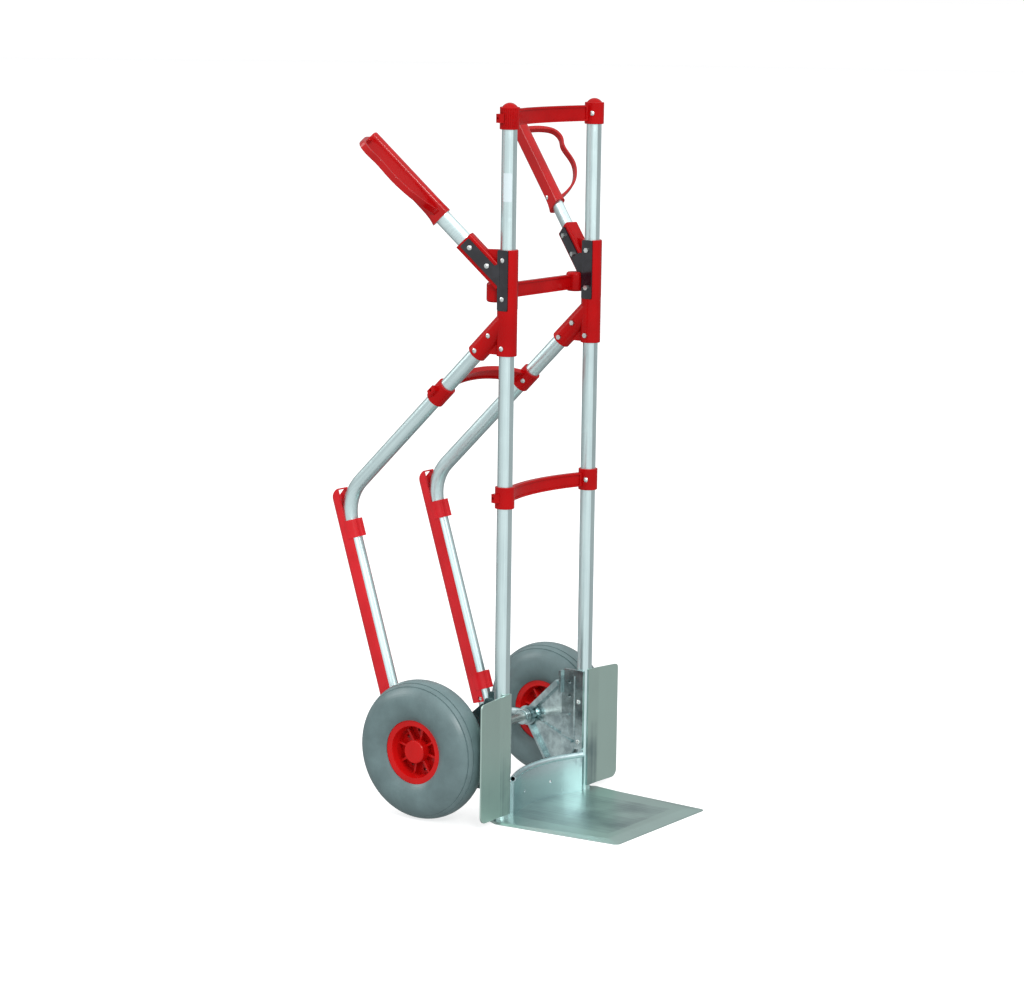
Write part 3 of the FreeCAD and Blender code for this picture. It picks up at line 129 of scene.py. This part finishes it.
class Bench:
    """Builds one material: a Principled shader and the nodes that feed it."""

    def __init__(self, name: str) -> None:
        """Starts an empty material with its shader and output."""
        self.material = bpy.data.materials.new(name)
        self.material.use_nodes = True
        self.tree = self.material.node_tree
        self.tree.nodes.clear()
        self.shader = self.node("ShaderNodeBsdfPrincipled")
        self.node("ShaderNodeOutputMaterial", {}, {"Surface": self.shader.outputs[0]})
        self.place = self.node("ShaderNodeTexCoord").outputs["Object"]

    def node(
        self,
        kind: str,
        settings: Optional[dict[str, Any]] = None,
        sockets: Optional[dict[Union[int, str], Any]] = None,
    ) -> bpy.types.Node:
        """Any node, with its settings first and then its sockets.

        Args:
            kind: Blender's node type.
            settings: attributes set before the sockets.
            sockets: value, Signal or link for each input, by name or number.

        Returns:
            The new node.
        """
        made = self.tree.nodes.new(kind)
        for name, value in (settings or {}).items():
            setattr(made, name, value)
        for name, value in (sockets or {}).items():
            self.feed(made.inputs[name], value)
        return made

    def feed(self, socket: bpy.types.NodeSocket, value: Any) -> None:
        """Sets or links one input socket."""
        if isinstance(value, Signal):
            self.tree.links.new(value.socket, socket)
        elif isinstance(value, bpy.types.NodeSocket):
            self.tree.links.new(value, socket)
        else:
            socket.default_value = value

    def out(self, kind: str, settings: dict[str, Any], sockets: dict[Union[int, str], Any]) -> Signal:
        """A node's first output as a Signal."""
        return Signal(self, self.node(kind, settings, sockets).outputs[0])

    def axis(self, index: int) -> Signal:
        """One object coordinate in metres: 0 across, 1 in depth, 2 in height."""
        split = self.node("ShaderNodeSeparateXYZ", {}, {0: self.place})
        return Signal(self, split.outputs[index])

    def noise(self, size: float, detail: float = 3.0, roughness: float = 0.5) -> Signal:
        """Even cloudy noise.

        Args:
            size: size of one cloud in metres.
            detail: octaves.
            roughness: share of the finer octaves.

        Returns:
            A value from 0 to 1, mostly near the middle.
        """
        sockets = {"Vector": self.place, "Scale": 1.0 / size, "Detail": detail, "Roughness": roughness}
        return self.out("ShaderNodeTexNoise", {}, sockets)

    def grain(self, turn: Place, width: float, stretch: float, detail: float = 4.0) -> Signal:
        """Noise drawn out along one direction, as brushing or drawing leaves it.

        Args:
            turn: rotation in radians that lays the drawn direction along local z.
            width: width of one streak in metres.
            stretch: length of a streak over its width.
            detail: octaves.

        Returns:
            A value from 0 to 1.
        """
        turned = self.node("ShaderNodeMapping", {}, {"Vector": self.place, "Rotation": turn})
        scale = (1.0 / width, 1.0 / width, 1.0 / (width * stretch))
        drawn = self.node("ShaderNodeMapping", {}, {"Vector": turned.outputs[0], "Scale": scale})
        sockets = {"Vector": drawn.outputs[0], "Scale": 1.0, "Detail": detail}
        return self.out("ShaderNodeTexNoise", {}, sockets)

    def specks(self, size: float, share: float) -> Signal:
        """Scattered small spots.

        Args:
            size: spacing of the spots in metres.
            share: radius of a spot over the spacing.

        Returns:
            1 inside a spot and 0 outside.
        """
        cells = self.node("ShaderNodeTexVoronoi", {}, {"Vector": self.place, "Scale": 1.0 / size})
        return Signal(self, cells.outputs["Distance"]).step(share, share * 0.6)

    def blend(self, share: Any, first: Any, second: Any) -> bpy.types.NodeSocket:
        """Colour between two colours.

        Args:
            share: 0 for the first colour, 1 for the second.
            first: colour or link.
            second: colour or link.

        Returns:
            The mixed colour.
        """
        ends = [(*end, 1.0) if isinstance(end, tuple) else end for end in (first, second)]
        settings = {"data_type": "RGBA"}
        return self.node("ShaderNodeMix", settings, {0: share, 6: ends[0], 7: ends[1]}).outputs[2]

    def bump(self, height: Signal, depth: float, strength: float = 1.0) -> None:
        """Surface relief.

        Args:
            height: relief from 0 to 1.
            depth: what 1 stands for, in metres.
            strength: overall share of the effect.
        """
        sockets = {"Height": height, "Distance": depth, "Strength": strength}
        self.feed(self.shader.inputs["Normal"], self.node("ShaderNodeBump", {}, sockets).outputs[0])

    def surface(self, **sockets: Any) -> bpy.types.Material:
        """Fills the shader's sockets, underscores standing for spaces.

        Args:
            sockets: value, Signal or link for each shader input.

        Returns:
            The finished material.
        """
        for name, value in sockets.items():
            if isinstance(value, tuple) and len(value) == 3:
                value = (*value, 1.0)
            self.feed(self.shader.inputs[name.replace("_", " ")], value)
        return self.material


# ------------------------------------------------------------------------------------------ finishes
class Run(Enum):
    """Direction in which a tube or sheet was drawn, as the turn that lays it along local z."""

    UPRIGHT = (0.0, 0.0, 0.0)
    DEPTH = (math.radians(90.0), 0.0, 0.0)
    ACROSS = (0.0, math.radians(90.0), 0.0)
    SKID_UPPER = (math.radians(-45.0), 0.0, 0.0)
    SKID_LOWER = (math.radians(17.6), 0.0, 0.0)


@dataclass(frozen=True)
class DrawnTube:
    """Satin anodised aluminium tube with faint lengthwise drawing lines."""

    light: Colour = (0.72, 0.88, 0.88)
    dark: Colour = (0.58, 0.72, 0.73)
    bend_height: float = 0.5656
    bend_half: float = 0.03
    line_widths: Span = (0.0009, 0.0042)
    line_stretch: float = 90.0
    line_depth: float = 0.00003

    def make(self, name: str, runs: Sequence[Run]) -> bpy.types.Material:
        """The tube's material.

        Args:
            name: material name.
            runs: drawn direction, or those above and below the bend.

        Returns:
            The material.
        """
        bench = Bench(name)
        fine, wide = (self._lines(bench, runs, width) for width in self.line_widths)
        cloud = bench.noise(0.09, 3.0)
        handling = bench.noise(0.012, 4.0).step(0.58, 0.74)
        tone = fine * 0.45 + wide * 0.35 + cloud * 0.3
        base = bench.blend(tone.step(0.38, 0.72), self.dark, self.light)
        bench.bump(fine + wide * 0.5, self.line_depth, 0.6)
        rough = 0.27 + fine * 0.12 + handling * 0.08
        return bench.surface(Base_Color=base, Metallic=1.0, Roughness=rough)

    def _lines(self, bench: Bench, runs: Sequence[Run], width: float) -> Signal:
        """Drawing lines that follow each run, changing over at the bend."""
        lines = [bench.grain(run.value, width, self.line_stretch) for run in runs]
        if len(lines) == 1:
            return lines[0]
        low, high = self.bend_height - self.bend_half, self.bend_height + self.bend_half
        above = bench.axis(2).step(low, high)
        return lines[0] * above + lines[1] * (1.0 - above)


@dataclass(frozen=True)
class ShadePatch:
    """Soft-edged patch of painted shade on a sheet, in metres.

    Each pair is where the patch is full and where it ends.

    Args:
        across: distance from the middle of the truck.
        depth: position in depth.
        height: position in height.
        amount: how much the tone drops inside.
    """

    across: Span
    depth: Span
    height: Span = (0.0, 0.0)
    amount: float = 0.3

    def share(self, bench: Bench) -> Signal:
        """Drop of the tone at each point: the painted shade."""
        drop = bench.axis(0).size().step(self.across[1], self.across[0])
        drop = drop * bench.axis(1).step(self.depth[1], self.depth[0])
        if self.height[0] != self.height[1]:
            drop = drop * bench.axis(2).step(self.height[1], self.height[0])
        return drop * self.amount


@dataclass(frozen=True)
class MilledSheet:
    """Mill-finish aluminium sheet, brushed one way, with scuffs, cloudy tone and, where given, a patch of
    painted shade.
    """

    light: Colour = (0.50, 0.66, 0.60)
    dark: Colour = (0.20, 0.29, 0.30)
    gloss: float = 0.24
    cloud_size: float = 0.06
    cloud_share: float = 0.5
    spread: Span = (0.26, 0.72)
    brush_width: float = 0.0005
    streak_width: float = 0.0045
    scuff_width: float = 0.0012
    brush_depth: float = 0.00003

    def make(self, name: str, run: Run, shaded: Optional[ShadePatch] = None) -> bpy.types.Material:
        """The sheet's material.

        Args:
            name: material name.
            run: direction of the brushing.
            shaded: where painted shade darkens the sheet.

        Returns:
            The material.
        """
        bench = Bench(name)
        fine = bench.grain(run.value, self.brush_width, 160.0, 4.0)
        wide = bench.grain(run.value, self.streak_width, 60.0, 3.0)
        cloud = bench.noise(self.cloud_size, 3.0, 0.5)
        scuff = bench.grain(Run.ACROSS.value, self.scuff_width, 40.0, 2.0).step(0.66, 0.72)
        middle = 0.5 - self.cloud_share * 0.5
        tone = fine * 0.22 + wide * 0.28 + cloud * self.cloud_share + middle
        if shaded is not None:
            # painted shade: the patch darkens the base colour where the sheet's reflections fall darker
            tone = tone - shaded.share(bench)
        base = bench.blend(tone.step(*self.spread), self.dark, self.light)
        bench.bump(fine + scuff * 0.6, self.brush_depth, 0.7)
        rough = self.gloss + fine * 0.14 + cloud * 0.1 - scuff * 0.05
        return bench.surface(Base_Color=base, Metallic=1.0, Roughness=rough)


@dataclass(frozen=True)
class CastMetal:
    """Aluminium as it leaves the mould, lightly polished: soft blotches and a fine skin."""

    light: Colour = (0.56, 0.70, 0.70)
    dark: Colour = (0.30, 0.39, 0.40)
    skin_size: float = 0.0016
    blotch_size: float = 0.022
    pit_spacing: float = 0.006
    relief: float = 0.00008

    def make(self, name: str) -> bpy.types.Material:
        """The casting's material."""
        bench = Bench(name)
        skin = bench.noise(self.skin_size, 4.0, 0.6)
        blotch = bench.noise(self.blotch_size, 4.0, 0.6)
        pits = bench.specks(self.pit_spacing, 0.11)
        base = bench.blend((blotch * 0.7 + skin * 0.3).step(0.36, 0.66), self.dark, self.light)
        bench.bump(skin * 0.6 + blotch * 0.5 - pits * 0.4, self.relief, 0.45)
        rough = 0.15 + blotch * 0.1 + pits * 0.1
        return bench.surface(Base_Color=base, Metallic=1.0, Roughness=rough)


@dataclass(frozen=True)
class Moulding:
    """Glossy moulded plastic with a faint flow pattern, skin texture and rubbed patches."""

    light: Colour
    dark: Colour
    gloss: float = 0.16
    skin: float = 0.0011
    relief: float = 0.00002
    specular: float = 0.22
    flow_size: float = 0.055
    rub_size: float = 0.016
    mark_width: float = 0.0006

    def make(self, name: str) -> bpy.types.Material:
        """The moulding's material."""
        bench = Bench(name)
        flow = bench.noise(self.flow_size, 3.0, 0.45)
        skin = bench.noise(self.skin, 2.0, 0.5)
        rub = bench.noise(self.rub_size, 5.0, 0.65).step(0.56, 0.76)
        marks = bench.grain(Run.UPRIGHT.value, self.mark_width, 30.0, 2.0).step(0.69, 0.75)
        base = bench.blend((flow + skin * 0.12).step(0.3, 0.78), self.dark, self.light)
        bench.bump(skin + flow * 0.8 + marks * 0.3, self.relief, 0.6)
        rough = self.gloss + rub * 0.1 + skin * 0.03 + marks * 0.08
        return bench.surface(Base_Color=base, Roughness=rough, Specular_IOR_Level=self.specular)


@dataclass(frozen=True)
class BlackPlate:
    """Polished black coated steel with hairline scratches."""

    light: Colour = (0.016, 0.017, 0.023)
    dark: Colour = (0.004, 0.004, 0.007)
    hair_width: float = 0.0004
    relief: float = 0.00006

    def make(self, name: str) -> bpy.types.Material:
        """The plate's material."""
        bench = Bench(name)
        cloud = bench.noise(0.02, 3.0)
        hair = bench.grain(Run.SKID_UPPER.value, self.hair_width, 60.0, 2.0).step(0.66, 0.74)
        base = bench.blend(cloud.step(0.35, 0.7) * 0.7 + hair * 0.3, self.dark, self.light)
        bench.bump(cloud + hair * 0.2, self.relief, 0.5)
        rough = 0.1 + cloud * 0.06 + hair * 0.16
        return bench.surface(Base_Color=base, Roughness=rough, Coat_Weight=0.25, Coat_Roughness=0.05)


@dataclass(frozen=True)
class FoamTyre:
    """Smooth grey foam tyre: a soft sheen, fine rings round the axle and a little dust."""

    light: Colour = (0.136, 0.205, 0.210)
    dark: Colour = (0.092, 0.142, 0.146)
    axle_depth: float = 0.126
    axle_height: float = 0.130
    ring_turns: float = 1500.0
    relief: float = 0.00016

    def make(self, name: str) -> bpy.types.Material:
        """The tyre's material; its rings follow the distance from the axle line."""
        bench = Bench(name)
        depth = bench.axis(1) - self.axle_depth
        height = bench.axis(2) - self.axle_height
        reach = (depth * depth + height * height) ** 0.5
        rings = (reach * self.ring_turns).wave() * 0.5 + 0.5
        skin = bench.noise(0.0012, 3.0, 0.6)
        dust = bench.noise(0.04, 5.0, 0.6)
        low = reach.step(0.098, 0.13)
        tone = dust * 0.8 + skin * 0.25 + low * 0.12
        base = bench.blend(tone.step(0.3, 0.85), self.dark, self.light)
        bench.bump(skin * 0.5 + rings * 0.5 + dust * 0.4, self.relief, 0.5)
        rough = 0.25 + dust * 0.12 + skin * 0.05
        return bench.surface(Base_Color=base, Roughness=rough, Specular_IOR_Level=0.5)


@dataclass(frozen=True)
class TurnedSteel:
    """Bright plated or drawn steel with fine tool marks and dull spots."""

    light: Colour = (0.80, 0.84, 0.82)
    dark: Colour = (0.46, 0.50, 0.49)
    gloss: float = 0.2
    tool_width: float = 0.0005
    tool_depth: float = 0.00003

    def make(self, name: str) -> bpy.types.Material:
        """The steel's material."""
        bench = Bench(name)
        tool = bench.grain(Run.ACROSS.value, self.tool_width, 30.0, 3.0)
        dull = bench.noise(0.004, 4.0, 0.6)
        base = bench.blend((tool * 0.5 + dull * 0.5).step(0.32, 0.68), self.dark, self.light)
        bench.bump(tool + dull * 0.5, self.tool_depth, 0.7)
        rough = self.gloss + dull * 0.16
        return bench.surface(Base_Color=base, Metallic=1.0, Roughness=rough)


# ------------------------------------------------------------------------------------------ surfaces
def grid_faces(rows: int, columns: int, closed: bool) -> np.ndarray:
    """Quads of a grid of points.

    Args:
        rows: points along the path.
        columns: points round the section.
        closed: whether the last column joins the first.

    Returns:
        One row of four point numbers per face.
    """
    across = np.arange(columns if closed else columns - 1)
    along = np.arange(rows - 1)[:, None] * columns
    after = (across + 1) % columns
    ahead = along + columns
    quads = np.stack([along + across, along + after, ahead + after, ahead + across], axis=-1)
    return quads.reshape(-1, 4)


def add_object(
    name: str, points: np.ndarray, faces: list[list[int]], material: bpy.types.Material
) -> bpy.types.Object:
    """Puts a surface into the scene, as one object at the origin.

    Args:
        name: object name.
        points: one row of x, y, z per point, in metres.
        faces: point numbers of each face, anticlockwise seen from outside.
        material: its finish.

    Returns:
        The new object.
    """
    mesh = bpy.data.meshes.new(name)
    mesh.from_pydata(points.tolist(), [], faces)
    mesh.materials.append(material)
    made = bpy.data.objects.new(name, mesh)
    bpy.context.scene.collection.objects.link(made)
    LOG.info("%s: %d points", name, len(points))
    return made


def dress(material: bpy.types.Material, *nodes: str) -> None:
    """Gives built parts their finish.

    Args:
        material: the finish.
        nodes: names of the parts.
    """
    for name in nodes:
        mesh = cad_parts[name].data
        mesh.materials.clear()
        mesh.materials.append(material)
    LOG.info("%s on %d parts", material.name, len(nodes))


def both(*names: str) -> list[str]:
    """Names of the left and right part of each kind."""
    return [f"{name}_{side}" for name in names for side in SIDES]


# ------------------------------------------------------------------------------------------ sub-assemblies
@dataclass
class TubeFrame:
    """Uprights, handle tubes and skid tubes."""

    finish: DrawnTube = field(default_factory=DrawnTube)
    tube_radius: float = 0.014
    axis_across: float = -0.138
    label_turn: Span = (172.0, 238.0)
    label_height: Span = (1.1425, 1.1936)
    label_lift: Span = (0.00004, 0.00016)
    label_steps: int = 25

    def _label(self) -> None:
        """Blank paper label wrapped part of the way round one upright.

        Its section is a loop: an outer arc a little above the tube's surface, and the same arc back just
        above the tube. The loop is stood from one height to the other and closed at both ends.
        """
        turn = np.radians(np.linspace(*self.label_turn, self.label_steps))
        inner, outer = (self.tube_radius + lift for lift in self.label_lift)
        radius = np.repeat([outer, inner], self.label_steps)
        angle = np.concatenate([turn, turn[::-1]])
        loop = np.stack([self.axis_across + radius * np.cos(angle), radius * np.sin(angle)], axis=-1)
        levels = [np.column_stack([loop, np.full(len(loop), height)]) for height in self.label_height]
        faces = grid_faces(2, len(loop), True).tolist()
        faces += [list(range(len(loop)))[::-1], list(range(len(loop), 2 * len(loop)))]
        label = add_object("upright_label", np.concatenate(levels), faces, self._paper())
        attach(label, FRAME_BODY)

    def _paper(self) -> bpy.types.Material:
        """Off-white paper with fine fibres and a slight unevenness."""
        bench = Bench("label_paper")
        fibre = bench.noise(0.0008, 3.0)
        faded = bench.noise(0.012, 3.0)
        paper = bench.blend(fibre * 0.5 + faded * 0.5, (0.56, 0.66, 0.69), (0.64, 0.73, 0.76))
        bench.bump(fibre, 0.00001)
        return bench.surface(Base_Color=paper, Roughness=0.35 + fibre * 0.1)

    def build(self) -> None:
        """Dresses the three pairs of tubes and adds the label."""
        self._label()
        dress(self.finish.make("upright_tube", [Run.UPRIGHT]), *both("upright"))
        dress(self.finish.make("handle_tube", [Run.SKID_UPPER]), *both("handle_tube"))
        dress(self.finish.make("skid_tube", [Run.SKID_UPPER, Run.SKID_LOWER]), *both("skid_tube"))


@dataclass
class RedMouldings:
    """Crossbars, side brackets, end plugs, grips, guards and skid strips."""

    bracket_red: Moulding = Moulding((0.425, 0.0026, 0.0034), (0.345, 0.0016, 0.0024), 0.2, specular=0.12)
    grip_red: Moulding = Moulding((0.440, 0.0024, 0.0034), (0.350, 0.0014, 0.0022), 0.12, specular=0.3)
    strip_red: Moulding = Moulding((0.64, 0.014, 0.022), (0.53, 0.008, 0.013), 0.24, specular=0.25)

    def build(self) -> None:
        """Dresses the red parts of the frame."""
        bars = [f"{place}_crossbar" for place in ("top", "middle", "lower", "rear")]
        dress(self.bracket_red.make("bracket_red"), *bars, *both("side_bracket", "end_plug"))
        dress(self.grip_red.make("grip_red"), *both("grip", "hand_guard"))
        dress(self.strip_red.make("strip_red"), *both("skid_strip"))


@dataclass
class LoadEnd:
    """Toe plate, bowed wall with its bead, and side wings."""

    plate: MilledSheet = MilledSheet((0.46, 0.62, 0.58), (0.15, 0.23, 0.25), 0.22, 0.09, 0.6)
    wall: MilledSheet = MilledSheet((0.56, 0.72, 0.74), (0.07, 0.11, 0.135), 0.12, 0.045, 0.9, (0.34, 0.62))
    bead: DrawnTube = DrawnTube((0.66, 0.82, 0.84), (0.44, 0.56, 0.58))
    wing: MilledSheet = MilledSheet()

    def build(self) -> None:
        """Dresses the sheet parts."""
        # painted shade: the toe plate's inner panel, between the uprights and next to the wall, is painted
        # darker
        inner_panel_shade = ShadePatch(across=(0.106, 0.114), depth=(-0.214, -0.224), amount=0.2)
        dress(self.plate.make("load_plate", Run.DEPTH, inner_panel_shade), "toe_plate")
        dress(self.wall.make("bowed_wall", Run.UPRIGHT), "toe_wall")
        dress(self.bead.make("bead_tube", [Run.ACROSS]), "toe_bead")
        # painted shade: the lower part of each wing's inner band is painted darker, standing in for darker
        # reflections low down
        low_wing_shade = ShadePatch(across=(0.160, 0.168), depth=(-0.030, -0.035), height=(0.06, 0.18), amount=0.26)
        dress(self.wing.make("wing_sheet", Run.UPRIGHT, low_wing_shade), *both("side_wing"))
        dress(CastMetal().make("bracket_casting"), *both("axle_bracket"), "foot_spigots")


@dataclass
class Hardware:
    """Gusset plates, screws, nuts, axle and washers."""

    def build(self) -> None:
        """Dresses the steel parts."""
        dress(BlackPlate().make("gusset_black"), *both("gusset_outer", "gusset_inner"))
        bright = TurnedSteel().make("zinc_bright")
        pairs = ("gusset", "bracket", "frame", "skid_foot")
        dress(bright, *[f"{pair}_{kind}" for pair in pairs for kind in ("bolts", "nuts")])
        dress(bright, *[f"{place}_screws" for place in ("crossbar", "middle_crossbar", "grip")])
        dress(bright, "foot_rivets", "retaining_rings")
        drawn = TurnedSteel(light=(0.72, 0.71, 0.68), dark=(0.42, 0.42, 0.41), gloss=0.24)
        dress(drawn.make("axle_steel"), "axle", "axle_spacers", *both("wheel_bearings"))


@dataclass
class Wheels:
    """Foam tyres on moulded rims with hub caps."""

    rim_red: Moulding = Moulding((0.60, 0.006, 0.006), (0.46, 0.004, 0.004), 0.2)

    def build(self) -> None:
        """Dresses both wheels."""
        dress(FoamTyre().make("foam_grey"), *both("tyre"))
        dress(self.rim_red.make("rim_red"), *both("wheel_rim", "hub_cap"))


# ------------------------------------------------------------------------------------------ room
@dataclass
class Studio:
    """Pale floor, soft lamps and the camera."""

    azimuth: float = math.radians(-55.613)
    elevation: float = math.radians(9.530)
    roll: float = math.radians(0.796)
    distance: float = 6.09153
    aim: Vector = field(default_factory=lambda: Vector((0.0, 0.1, 0.65)))
    shift_right: float = 0.01685
    shift_up: float = -0.06641
    sensor: float = 36.0
    lens: float = 114.702
    view_reach: float = 100.0
    floor_half: float = 200.0
    floor_glow: float = 0.74
    shell_radius: float = 40.0
    shell_rings: int = 24
    shell_sectors: int = 48
    camera_side: Span = (-0.825, -0.565)

    def build(self) -> None:
        """Makes the floor, the surround, the lamps and the camera."""
        self._floor()
        self._surround()
        self._lamps()
        self._camera()

    def _camera(self) -> None:
        """Camera on a sphere round the aim point, rolled a little, shifted in its own plane."""
        flat, rise = math.cos(self.elevation), math.sin(self.elevation)
        back = Vector((math.sin(self.azimuth) * flat, -math.cos(self.azimuth) * flat, rise))
        right = Vector((math.cos(self.azimuth), math.sin(self.azimuth), 0.0))
        up = back.cross(right)
        rolled_right = right * math.cos(self.roll) + up * math.sin(self.roll)
        rolled_up = up * math.cos(self.roll) - right * math.sin(self.roll)
        data = bpy.data.cameras.new("camera")
        data.sensor_width = self.sensor
        data.lens = self.lens
        data.clip_end = self.view_reach
        camera = bpy.data.objects.new("camera", data)
        bpy.context.scene.collection.objects.link(camera)
        shift = rolled_right * self.shift_right + rolled_up * self.shift_up
        turn = Matrix((rolled_right, rolled_up, back)).transposed()
        place = Matrix.Translation(self.aim + shift + back * self.distance)
        camera.matrix_world = place @ turn.to_4x4()
        bpy.context.scene.camera = camera

    def _floor(self) -> None:
        """Wide pale floor just under the wheels, bright by itself so that shadows on it stay soft."""
        half = self.floor_half
        corners = np.array([(-half, -half, 0.0), (half, -half, 0.0), (half, half, 0.0), (-half, half, 0.0)])
        bench = Bench("floor_pale")
        mottle = bench.noise(0.6, 3.0)
        paper = bench.blend(mottle, (0.44, 0.44, 0.44), (0.47, 0.47, 0.47))
        bench.surface(Base_Color=paper, Roughness=0.9, Specular_IOR_Level=0.0)
        bench.surface(Emission_Color=WHITE, Emission_Strength=self.floor_glow)
        floor = self._set_piece("floor", corners, [[0, 1, 2, 3]], bench.material)
        floor.visible_glossy = False
        floor.visible_diffuse = False

    def _surround(self) -> None:
        """Closed shell round the studio, brighter overhead and dimmer on the far side and below.

        Its points stand on level rings from top to bottom, at even angles on each ring, with one more point
        at each pole that closes the last ring.
        """
        tilt = np.linspace(0.0, math.pi, self.shell_rings + 1)[1:-1, None]
        turn = np.arange(self.shell_sectors)[None, :] * (2.0 * math.pi / self.shell_sectors)
        level = np.cos(tilt) + 0.0 * turn
        rings = np.stack([np.sin(tilt) * np.cos(turn), np.sin(tilt) * np.sin(turn), level], axis=-1)
        poles = [[0.0, 0.0, 1.0], [0.0, 0.0, -1.0]]
        points = np.concatenate([rings.reshape(-1, 3), poles]) * self.shell_radius
        faces = grid_faces(self.shell_rings - 1, self.shell_sectors, True).tolist()
        top, bottom = len(points) - 2, len(points) - 1
        last = (self.shell_rings - 2) * self.shell_sectors
        sectors = range(self.shell_sectors)
        after = [(column + 1) % self.shell_sectors for column in sectors]
        faces += [[top, after[column], column] for column in sectors]
        faces += [[bottom, last + column, last + after[column]] for column in sectors]
        shell = self._set_piece("surround", points, faces, self._glow())
        shell.visible_camera = False

    def _glow(self) -> bpy.types.Material:
        """Light of the surround: a share for the side, a share for the height."""
        bench = Bench("surround_glow")
        east, north = (share / self.shell_radius for share in self.camera_side)
        side = bench.axis(0) * east + bench.axis(1) * north
        height = bench.axis(2) * (1.0 / self.shell_radius)
        level = side.step(-0.95, 0.95) * 0.58 + 0.3
        level = level + height.step(0.05, 0.9) * 0.7 - height.step(-0.2, -0.8) * 0.12
        glow = bench.blend(level * 0.5, BLACK, (2.0, 2.02, 2.04))
        bench.surface(Base_Color=BLACK, Specular_IOR_Level=0.0)
        return bench.surface(Emission_Color=glow, Emission_Strength=1.0)

    def _set_piece(
        self, name: str, points: np.ndarray, faces: list[list[int]], material: bpy.types.Material
    ) -> bpy.types.Object:
        """A surface that belongs to the studio and not to the truck."""
        piece = add_object(name, points, faces, material)
        material.cycles.emission_sampling = "NONE"
        return piece

    def _lamps(self) -> None:
        """Three large soft lamps and a plain white world beyond the floor."""
        self._lamp("key", (-3.0, -3.2, 3.2), 1.3, 84.0)
        self._lamp("side", (0.8, -4.6, 2.2), 1.4, 22.0)
        self._lamp("rear", (-1.8, 4.0, 3.0), 2.0, 46.0)
        world = bpy.data.worlds.new("surround")
        world.use_nodes = True
        background = world.node_tree.nodes["Background"]
        background.inputs["Color"].default_value = WHITE
        background.inputs["Strength"].default_value = 1.0
        bpy.context.scene.world = world
        bpy.context.scene.view_settings.view_transform = "Standard"

    def _lamp(self, name: str, place: Place, size: float, power: float) -> None:
        """One square area lamp aimed at the middle of the truck.

        Args:
            name: lamp name.
            place: where it hangs, in metres.
            size: length of its side in metres.
            power: in watts.
        """
        data = bpy.data.lights.new(name, "AREA")
        data.size = size
        data.energy = power
        lamp = bpy.data.objects.new(name, data)
        lamp.location = place
        lamp.rotation_mode = "QUATERNION"
        lamp.rotation_quaternion = (self.aim - Vector(place)).to_track_quat("-Z", "Y")
        bpy.context.scene.collection.objects.link(lamp)


def main() -> None:
    """Builds every sub-assembly in order."""
    logging.basicConfig(level=logging.INFO, format="%(name)s %(message)s")
    for assembly in (TubeFrame(), RedMouldings(), LoadEnd(), Hardware(), Wheels(), Studio()):
        assembly.build()
        LOG.info("%s done", type(assembly).__name__)


if __name__ == "__main__":
    main()
